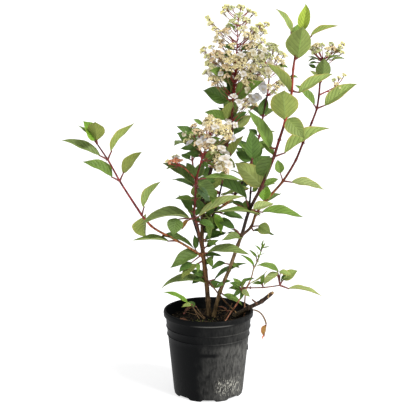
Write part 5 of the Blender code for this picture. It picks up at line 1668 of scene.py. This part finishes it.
class SHRUB_OT_make_soil(ShrubMaker, bpy.types.Operator):
    """Fill the pot with lumpy soil, crumbs, moss and bark chips"""

    bl_idname = "shrub.make_soil"
    bl_label = "Make Soil"

    SEGMENTS = 128
    RINGS = 34
    BOTTOM = 0.150
    CRUMBS = 1500
    CHIPS = 130
    TUFTS = 420
    DARK_SHARE = 0.82
    # The middle of the moss and how far it spreads.
    MOSS_PLACE = (-0.018, -0.050)
    MOSS_SPREAD = (0.020, 0.018)
    # The order of the finishes.
    DARK, PALE, CHIP, MOSS = range(4)

    def level(self, x, y):
        """Return the soil's height at a place."""
        settings = looks("pot")
        rough = noise.fractal(Vector((x, y, 0.0)) * 42.0, 0.7, 2.1, 4)
        mound = 0.006 * math.exp(-((x - 0.006) ** 2 + (y - 0.012) ** 2) / 0.0011)
        return SOIL_TOP - 0.001 + settings.soil_relief * rough * 0.55 + mound

    def make(self):
        settings = looks("pot")
        form = bmesh.new()
        inner = wall_radius(SOIL_TOP) - WALL - 0.0004
        top = [(reach, SOIL_TOP) for reach in np.linspace(0.0, inner, self.RINGS)]
        bottom = [(wall_radius(self.BOTTOM) - WALL - 0.0006, self.BOTTOM), (0.0, self.BOTTOM)]
        spin_profile(form, top + bottom, self.SEGMENTS)
        for vert in form.verts:
            if vert.co.z > SOIL_TOP - 0.001:
                vert.co.z = self.level(vert.co.x, vert.co.y)
        ground = soil_finish("potting_soil", tuple(settings.soil), tint(84, 72, 50))
        add_piece("soil_bed", mesh_from(form, "soil_bed"), [ground], "potting_soil", ("soil",))
        self.scatter(inner)

    def scatter(self, inner):
        """Scatter crumbs, chips of bark and tufts of moss over the soil."""
        chance = random.Random(SEEDS["soil"])
        crumb = ball_template(1)
        form = bmesh.new()
        bmesh.ops.create_cube(form, size=1.0)
        bmesh.ops.subdivide_edges(form, edges=form.edges[:], cuts=1)
        chip = Template(form)
        heap = Heap()
        for index in range(self.CRUMBS + self.CHIPS):
            reach = inner * 0.97 * math.sqrt(chance.random())
            angle = chance.uniform(0.0, math.tau)
            x, y = reach * math.cos(angle), reach * math.sin(angle)
            spin = chance.uniform(0.0, math.tau)
            turn = Matrix.Rotation(spin, 4, Vector((chance.random(), 1.0, chance.random())))
            place = Matrix.Translation((x, y, self.level(x, y) + 0.0006))
            if index < self.CRUMBS:
                size = 0.0007 + 0.0026 * chance.random() ** 3
                breadth = size * chance.uniform(0.6, 1.0)
                shape = Matrix.Diagonal((size, breadth, size * chance.uniform(0.5, 0.9), 1.0))
                slot = self.DARK if chance.random() < self.DARK_SHARE else self.PALE
                heap.place(crumb, place @ turn @ shape, (slot,))
            else:
                size = chance.uniform(0.004, 0.011)
                shape = Matrix.Diagonal((size, size * chance.uniform(0.25, 0.5), 0.0011, 1.0))
                tip = Matrix.Rotation(chance.uniform(-0.4, 0.4), 4, "X")
                tip = tip @ Matrix.Rotation(angle * 3.0, 4, "Z")
                heap.place(chip, place @ tip @ shape, (chance.choice((self.PALE, self.CHIP)),))
        for _ in range(self.TUFTS):
            x, y = (chance.gauss(*pair) for pair in zip(self.MOSS_PLACE, self.MOSS_SPREAD))
            if math.hypot(x, y) > inner * 0.95:
                continue
            size = chance.uniform(0.0008, 0.0021)
            place = Matrix.Translation((x, y, self.level(x, y) + 0.0008))
            heap.place(crumb, place @ Matrix.Diagonal((size, size, size * 1.5, 1.0)), (self.MOSS,))
        finishes = [
            mottled_finish("crumb_dark", tint(20, 16, 12), 0.9, 0.5, 500.0, 0.0006, 0.2),
            mottled_finish("crumb_pale", tint(70, 56, 38), 0.85, 0.4, 500.0, 0.0005, 0.2),
            mottled_finish("bark_chip", tint(56, 38, 26), 0.8, 0.4, 400.0, 0.0005, 0.2),
            mottled_finish("moss", tint(70, 72, 36), 0.9, 0.4, 600.0, 0.0006, 0.2),
        ]
        add_piece("soil_crumbs", heap.mesh("soil_crumbs"), finishes, "potting_soil")


class SHRUB_OT_make_limbs(ShrubMaker, bpy.types.Operator):
    """Grow every stem and bough, with the relief of its bark"""

    bl_idname = "shrub.make_limbs"
    bl_label = "Make Stems and Boughs"

    def make(self):
        settings = looks("bark")
        for name, shoot in SHOOTS.items():
            roughness = settings.gloss if shoot.slot == "red_bark" else 0.7
            finish = bark_finish("bark_" + name, shoot, roughness)
            add_piece("bark_" + name, bark_tube(name, shoot, settings), [finish], shoot.slot, (name,))


class SHRUB_OT_make_leaves(ShrubMaker, bpy.types.Operator):
    """Grow the leaves and their stalks on every shoot"""

    bl_idname = "shrub.make_leaves"
    bl_label = "Make Leaves"

    def make(self):
        templates = leaf_templates()
        finishes, slots = leaf_finishes()
        for number, (name, leaves) in enumerate(LEAVES.items()):
            chance = random.Random(SEEDS["leaves"] + number)
            heap = Heap()
            grown = [placed_leaf(name, leaf) for leaf in leaves]
            grown += crook_leaves(name, chance) if name in CROOKS else []
            for leaf in grown:
                add_leaf(heap, leaf, slots, chance, knot_place(name, leaf.knot), templates)
            self.add_knot_buds(heap, name, chance, templates["bud"])
            mesh = heap.mesh("leaves_" + name)
            add_piece("leaves_" + name, mesh, finishes, "leaf", MASSES.get(name, ()))
        self.make_head_leaves(templates, finishes, slots)

    def add_knot_buds(self, heap, name, chance, template):
        """Add the pair of small pointed buds that sits on each knot of a shoot."""
        shoot = SHOOTS[name]
        for knot in range(1, len(shoot.route) - 1):
            place = knot_place(name, knot)
            along = (Vector(shoot.route[knot + 1]) - place).normalized()
            side = along.cross(Vector((0.0, -1.0, 0.2))).normalized()
            if knot % 2:
                side = along.cross(side).normalized()
            for sign in (-1.0, 1.0):
                way = (side * sign + along * 0.7).normalized()
                seat = place + side * sign * shoot.foot * 0.6
                add_bud(heap, template, seat, way, chance.uniform(0.0010, 0.0016))

    def make_head_leaves(self, templates, finishes, slots):
        """Grow the small leaves inside the flower heads."""
        chance = random.Random(SEEDS["head leaves"])
        heap = Heap()
        for place, *bearing in HEAD_LEAVES:
            add_leaf(heap, plain_leaf(*bearing), slots, chance, Vector(place), templates)
        add_piece("leaves_heads", heap.mesh("leaves_heads"), finishes, "leaf")


class SHRUB_OT_make_blooms(ShrubMaker, bpy.types.Operator):
    """Grow the flower heads: their branches, buds, small flowers and florets"""

    bl_idname = "shrub.make_blooms"
    bl_label = "Make Flower Heads"

    def make(self):
        settings = looks("bloom")
        templates = {"twig": rod_template(6, 5), "pedicel": rod_template(3, 1), "bud": ball_template(1),
                     "flower": flower_template(), "sepal": blade_template((-1.0, -0.5, 0.0, 0.5, 1.0), 5)}
        twigs = [mottled_finish("head_branch", tuple(settings.branch), 0.5, 0.3, 200.0, 0.0001),
                 mottled_finish("head_twig", tuple(settings.twig), 0.6, 0.3, 200.0, 0.0001)]
        buds = []
        for mood, (bud, flower) in MOODS.items():
            buds.append(mottled_finish("bud_" + mood, bud, 0.6, 0.14, 300.0, 0.0001, 0.3))
            buds.append(mottled_finish("flower_" + mood, flower, 0.6, 0.05, 300.0, 0.0001, 0.3))
        sepals = [sepal_finish("sepal_" + name, colour) for name, colour in SEPALS.items()]
        sepals.append(mottled_finish("floret_eye", tint(206, 196, 130), 0.6, 0.1, 200.0, 0.0001))
        for number, (name, bloom) in enumerate(BLOOMS.items()):
            head = HeadMaker(bloom, templates, random.Random(SEEDS["blooms"] + number))
            head.grow()
            add_piece("twigs_" + name, head.twigs.mesh("twigs_" + name), twigs, "blossom")
            nodes = bloom.nodes or ("bloom_" + name,)
            for node, heap in zip(nodes, head.parts):
                title = node.replace("bloom", "buds")
                add_piece(title, heap.mesh(title), buds, "blossom", (node,) if bloom.nodes else ())
            if head.sepals.count:
                add_piece("florets_" + name, head.sepals.mesh("florets_" + name), sepals, "blossom")


class SHRUB_OT_make_litter(ShrubMaker, bpy.types.Operator):
    """Lay the loose twigs, dry leaves and splinters in and on the pot"""

    bl_idname = "shrub.make_litter"
    bl_label = "Make Twigs and Litter"

    # Each twig: its foot, bend and end in metres, its radii at both ends, and its finish.
    TWIGS = (
        ((-0.010, -0.004, 0.184), (-0.024, -0.014, 0.198), (-0.044, -0.029, 0.229), 0.0013, 0.0009, 0),
        ((-0.008, 0.002, 0.184), (-0.020, 0.004, 0.196), (-0.030, 0.008, 0.212), 0.0011, 0.0008, 0),
        ((-0.022, -0.018, 0.190), (-0.032, -0.024, 0.206), (-0.038, -0.029, 0.228), 0.0009, 0.0007, 0),
        ((0.024, -0.078, 0.184), (0.038, -0.066, 0.190), (0.056, -0.026, 0.212), 0.0009, 0.0013, 1),
        ((0.119, -0.034, 0.232), (0.112, -0.034, 0.237), (0.105, -0.033, 0.243), 0.0024, 0.0019, 2),
        ((0.108, -0.030, 0.216), (0.132, -0.032, 0.214), (0.140, -0.034, 0.182), 0.0017, 0.0021, 0),
        ((0.143, -0.048, 0.252), (0.144, -0.049, 0.257), (0.145, -0.050, 0.264), 0.0016, 0.0010, 3),
        ((0.092, -0.012, 0.214), (0.090, -0.016, 0.222), (0.090, -0.018, 0.229), 0.0011, 0.0007, 2),
        ((0.040, 0.010, 0.183), (0.052, 0.000, 0.205), (0.058, -0.006, 0.226), 0.0012, 0.0010, 0),
        ((-0.030, 0.030, 0.184), (-0.050, 0.045, 0.187), (-0.064, 0.052, 0.185), 0.0010, 0.0007, 0),
        ((0.020, 0.060, 0.185), (0.040, 0.068, 0.186), (0.060, 0.066, 0.184), 0.0011, 0.0008, 0),
        ((-0.056, -0.040, 0.184), (-0.046, -0.052, 0.186), (-0.030, -0.060, 0.184), 0.0009, 0.0007, 0),
    )
    # Each leaf: its foot in metres, heading, lean, length, turn, tone and breadth as a part of its length.
    LEAVES_IN_POT = (
        ((-0.046, -0.030, 0.230), 153, 8, 70, 30, "bright", 0.26),
        ((-0.038, -0.030, 0.229), -174, 25, 26, 40, "pale", 0.5),
        ((-0.030, 0.008, 0.212), 150, 0, 22, 50, "dark", 0.6),
        ((-0.080, -0.030, 0.187), 8, 20, 30, 10, "brown", 0.4),
        ((-0.062, 0.034, 0.186), 30, -20, 30, 0, "brown", 0.42),
        ((0.050, 0.052, 0.187), 160, -10, 28, 0, "brown", 0.4),
        ((0.016, -0.062, 0.187), 175, 10, 22, 10, "brown", 0.4),
        ((0.140, -0.034, 0.183), -96, 0, 31, -50, "dry", 0.6),
        ((0.136, -0.038, 0.158), -105, 10, 11, -50, "rust", 0.9),
    )
    SPLINTERS = 26
    SPLINTER_RADII = (0.0008, 0.00025)
    SPLIT_WOOD = 3

    def make(self):
        chance = random.Random(SEEDS["litter"])
        rod = rod_template(6, 6)
        heap = Heap()
        for foot, bend, end, thick, thin, slot in self.TWIGS:
            heap.add(rod, along_curve(rod.points, foot, bend, end, thick, thin), (slot,))
        self.add_splinters(heap, rod, chance)
        finishes = [
            mottled_finish("twig_tan", tint(122, 96, 68), 0.75, 0.4, 260.0, 0.0003, 0.3),
            mottled_finish("twig_salmon", tint(158, 106, 82), 0.6, 0.25, 260.0, 0.0002, 0.4),
            mottled_finish("twig_brown", tint(104, 72, 54), 0.75, 0.4, 260.0, 0.0003, 0.3),
            mottled_finish("split_wood", tint(206, 172, 122), 0.8, 0.3, 400.0, 0.0003, 0.2),
        ]
        add_piece("twigs_in_pot", heap.mesh("twigs_in_pot"), finishes, "brown_bark")
        self.make_leaves()

    def add_splinters(self, heap, rod, chance):
        """Add the frayed fibres at the end of the cut stub."""
        end = Vector(SHOOTS["stub_cut"].route[-1])
        along = (end - Vector(SHOOTS["stub_cut"].route[-2])).normalized()
        side = along.orthogonal().normalized()
        across = along.cross(side)
        for index in range(self.SPLINTERS):
            angle = index * GOLDEN_ANGLE
            reach = 0.0030 * math.sqrt((index + 0.5) / self.SPLINTERS)
            foot = end + (side * math.cos(angle) + across * math.sin(angle)) * reach - along * 0.003
            tip = foot + along * chance.uniform(0.005, 0.0095) + (foot - end) * chance.uniform(0.0, 0.5)
            fibre = along_curve(rod.points, foot, foot.lerp(tip, 0.5), tip, *self.SPLINTER_RADII)
            heap.add(rod, fibre, (self.SPLIT_WOOD,))

    def make_leaves(self):
        """Lay the leaves that grow or lie in the pot."""
        chance = random.Random(SEEDS["pot leaves"])
        templates = leaf_templates()
        finishes, slots = leaf_finishes()
        heap = Heap()
        for place, heading, lean, length, turn, tone, breadth in self.LEAVES_IN_POT:
            leaf = Leaf(0, 3, heading, heading, lean, length, turn, tone, 40, breadth)
            add_leaf(heap, leaf, slots, chance, Vector(place), templates)
        add_piece("leaves_in_pot", heap.mesh("leaves_in_pot"), finishes, "leaf")


class SHRUB_OT_make_stage(ShrubMaker, bpy.types.Operator):
    """Lay the pale floor, hang the soft lights and set up the camera"""

    bl_idname = "shrub.make_stage"
    bl_label = "Make Stage"

    # Each light: its name, the place that it shines from, its strength and how wide it looks in degrees.
    LIGHTS = (
        ("key_light", (1.7, -1.3, 1.9), 3.0, 24.0),
        ("fill_light", (-1.6, -2.0, 1.2), 0.55, 60.0),
    )
    FLOOR_SIZE = 60.0

    def make(self):
        settings = looks("stage")
        form = bmesh.new()
        bmesh.ops.create_grid(form, x_segments=2, y_segments=2, size=self.FLOOR_SIZE)
        floor = bpy.data.objects.new("floor", mesh_from(form, "floor"))
        bpy.context.scene.collection.objects.link(floor)
        finish = Finish("floor_paper", 0.95, 0.1)
        grain = finish.step(finish.cloud(6.0), 0.3, 0.7)
        finish.feed("Base Color", finish.blend(grain, deeper(settings.floor, 0.985), tuple(settings.floor)))
        finish.shader.inputs["Emission Color"].default_value = (1.0, 1.0, 1.0, 1.0)
        finish.shader.inputs["Emission Strength"].default_value = settings.paper_glow
        floor.data.materials.append(finish.material)
        for name, place, strength, breadth in self.LIGHTS:
            lamp = bpy.data.lights.new(name, "SUN")
            lamp.energy = strength
            lamp.angle = math.radians(breadth)
            light = bpy.data.objects.new(name, lamp)
            light.location = place
            light.rotation_euler = Vector(place).to_track_quat("Z", "Y").to_euler()
            bpy.context.scene.collection.objects.link(light)
        world = bpy.data.worlds.new("studio_air")
        world.use_nodes = True
        air = world.node_tree.nodes["Background"]
        air.inputs["Color"].default_value = (*settings.backdrop, 1.0)
        air.inputs["Strength"].default_value = settings.glow
        bpy.context.scene.world = world
        bpy.context.scene.view_settings.view_transform = "Standard"
        self.place_camera(settings)

    def place_camera(self, settings):
        """Stand the camera in front of the pot, looking a little down."""
        lens = bpy.data.cameras.new("camera")
        lens.lens = settings.lens
        lens.sensor_width = 36.0
        lens.clip_end = 50.0
        camera = bpy.data.objects.new("camera", lens)
        camera.location = (settings.offset, -settings.distance, settings.height)
        camera.rotation_euler = (math.pi / 2.0 - settings.tilt, 0.0, 0.0)
        bpy.context.scene.collection.objects.link(camera)
        bpy.context.scene.camera = camera


OPERATORS = (SHRUB_OT_make_stage, SHRUB_OT_make_pot, SHRUB_OT_make_soil, SHRUB_OT_make_limbs,
             SHRUB_OT_make_leaves, SHRUB_OT_make_blooms, SHRUB_OT_make_litter)


class SHRUB_PT_panel(bpy.types.Panel):
    """The sidebar panel with the shrub's makers and their settings"""

    bl_idname = "SHRUB_PT_panel"
    bl_label = "Hydrangea Shrub"
    bl_space_type = "VIEW_3D"
    bl_region_type = "UI"
    bl_category = "Shrub"

    def draw(self, context):
        for operator in OPERATORS:
            self.layout.operator(operator.bl_idname)
        for part, group in LOOKS.items():
            box = self.layout.box()
            box.label(text=part.capitalize())
            for name in group.__annotations__:
                box.prop(looks(part), name)


CLASSES = (*LOOKS.values(), *OPERATORS, SHRUB_PT_panel)


def register():
    """Register every class, and hang the settings on the scene."""
    for each in CLASSES:
        bpy.utils.register_class(each)
    for part, group in LOOKS.items():
        setattr(bpy.types.Scene, "shrub_" + part, bpy.props.PointerProperty(type=group))


def unregister():
    """Undo register."""
    for part in LOOKS:
        delattr(bpy.types.Scene, "shrub_" + part)
    for each in reversed(CLASSES):
        bpy.utils.unregister_class(each)


def main():
    """Make the whole shrub and its stage."""
    register()
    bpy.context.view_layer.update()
    bpy.ops.shrub.make_stage()
    bpy.ops.shrub.make_pot()
    bpy.ops.shrub.make_soil()
    bpy.ops.shrub.make_limbs()
    bpy.ops.shrub.make_leaves()
    bpy.ops.shrub.make_blooms()
    bpy.ops.shrub.make_litter()


if __name__ == "__main__":
    main()
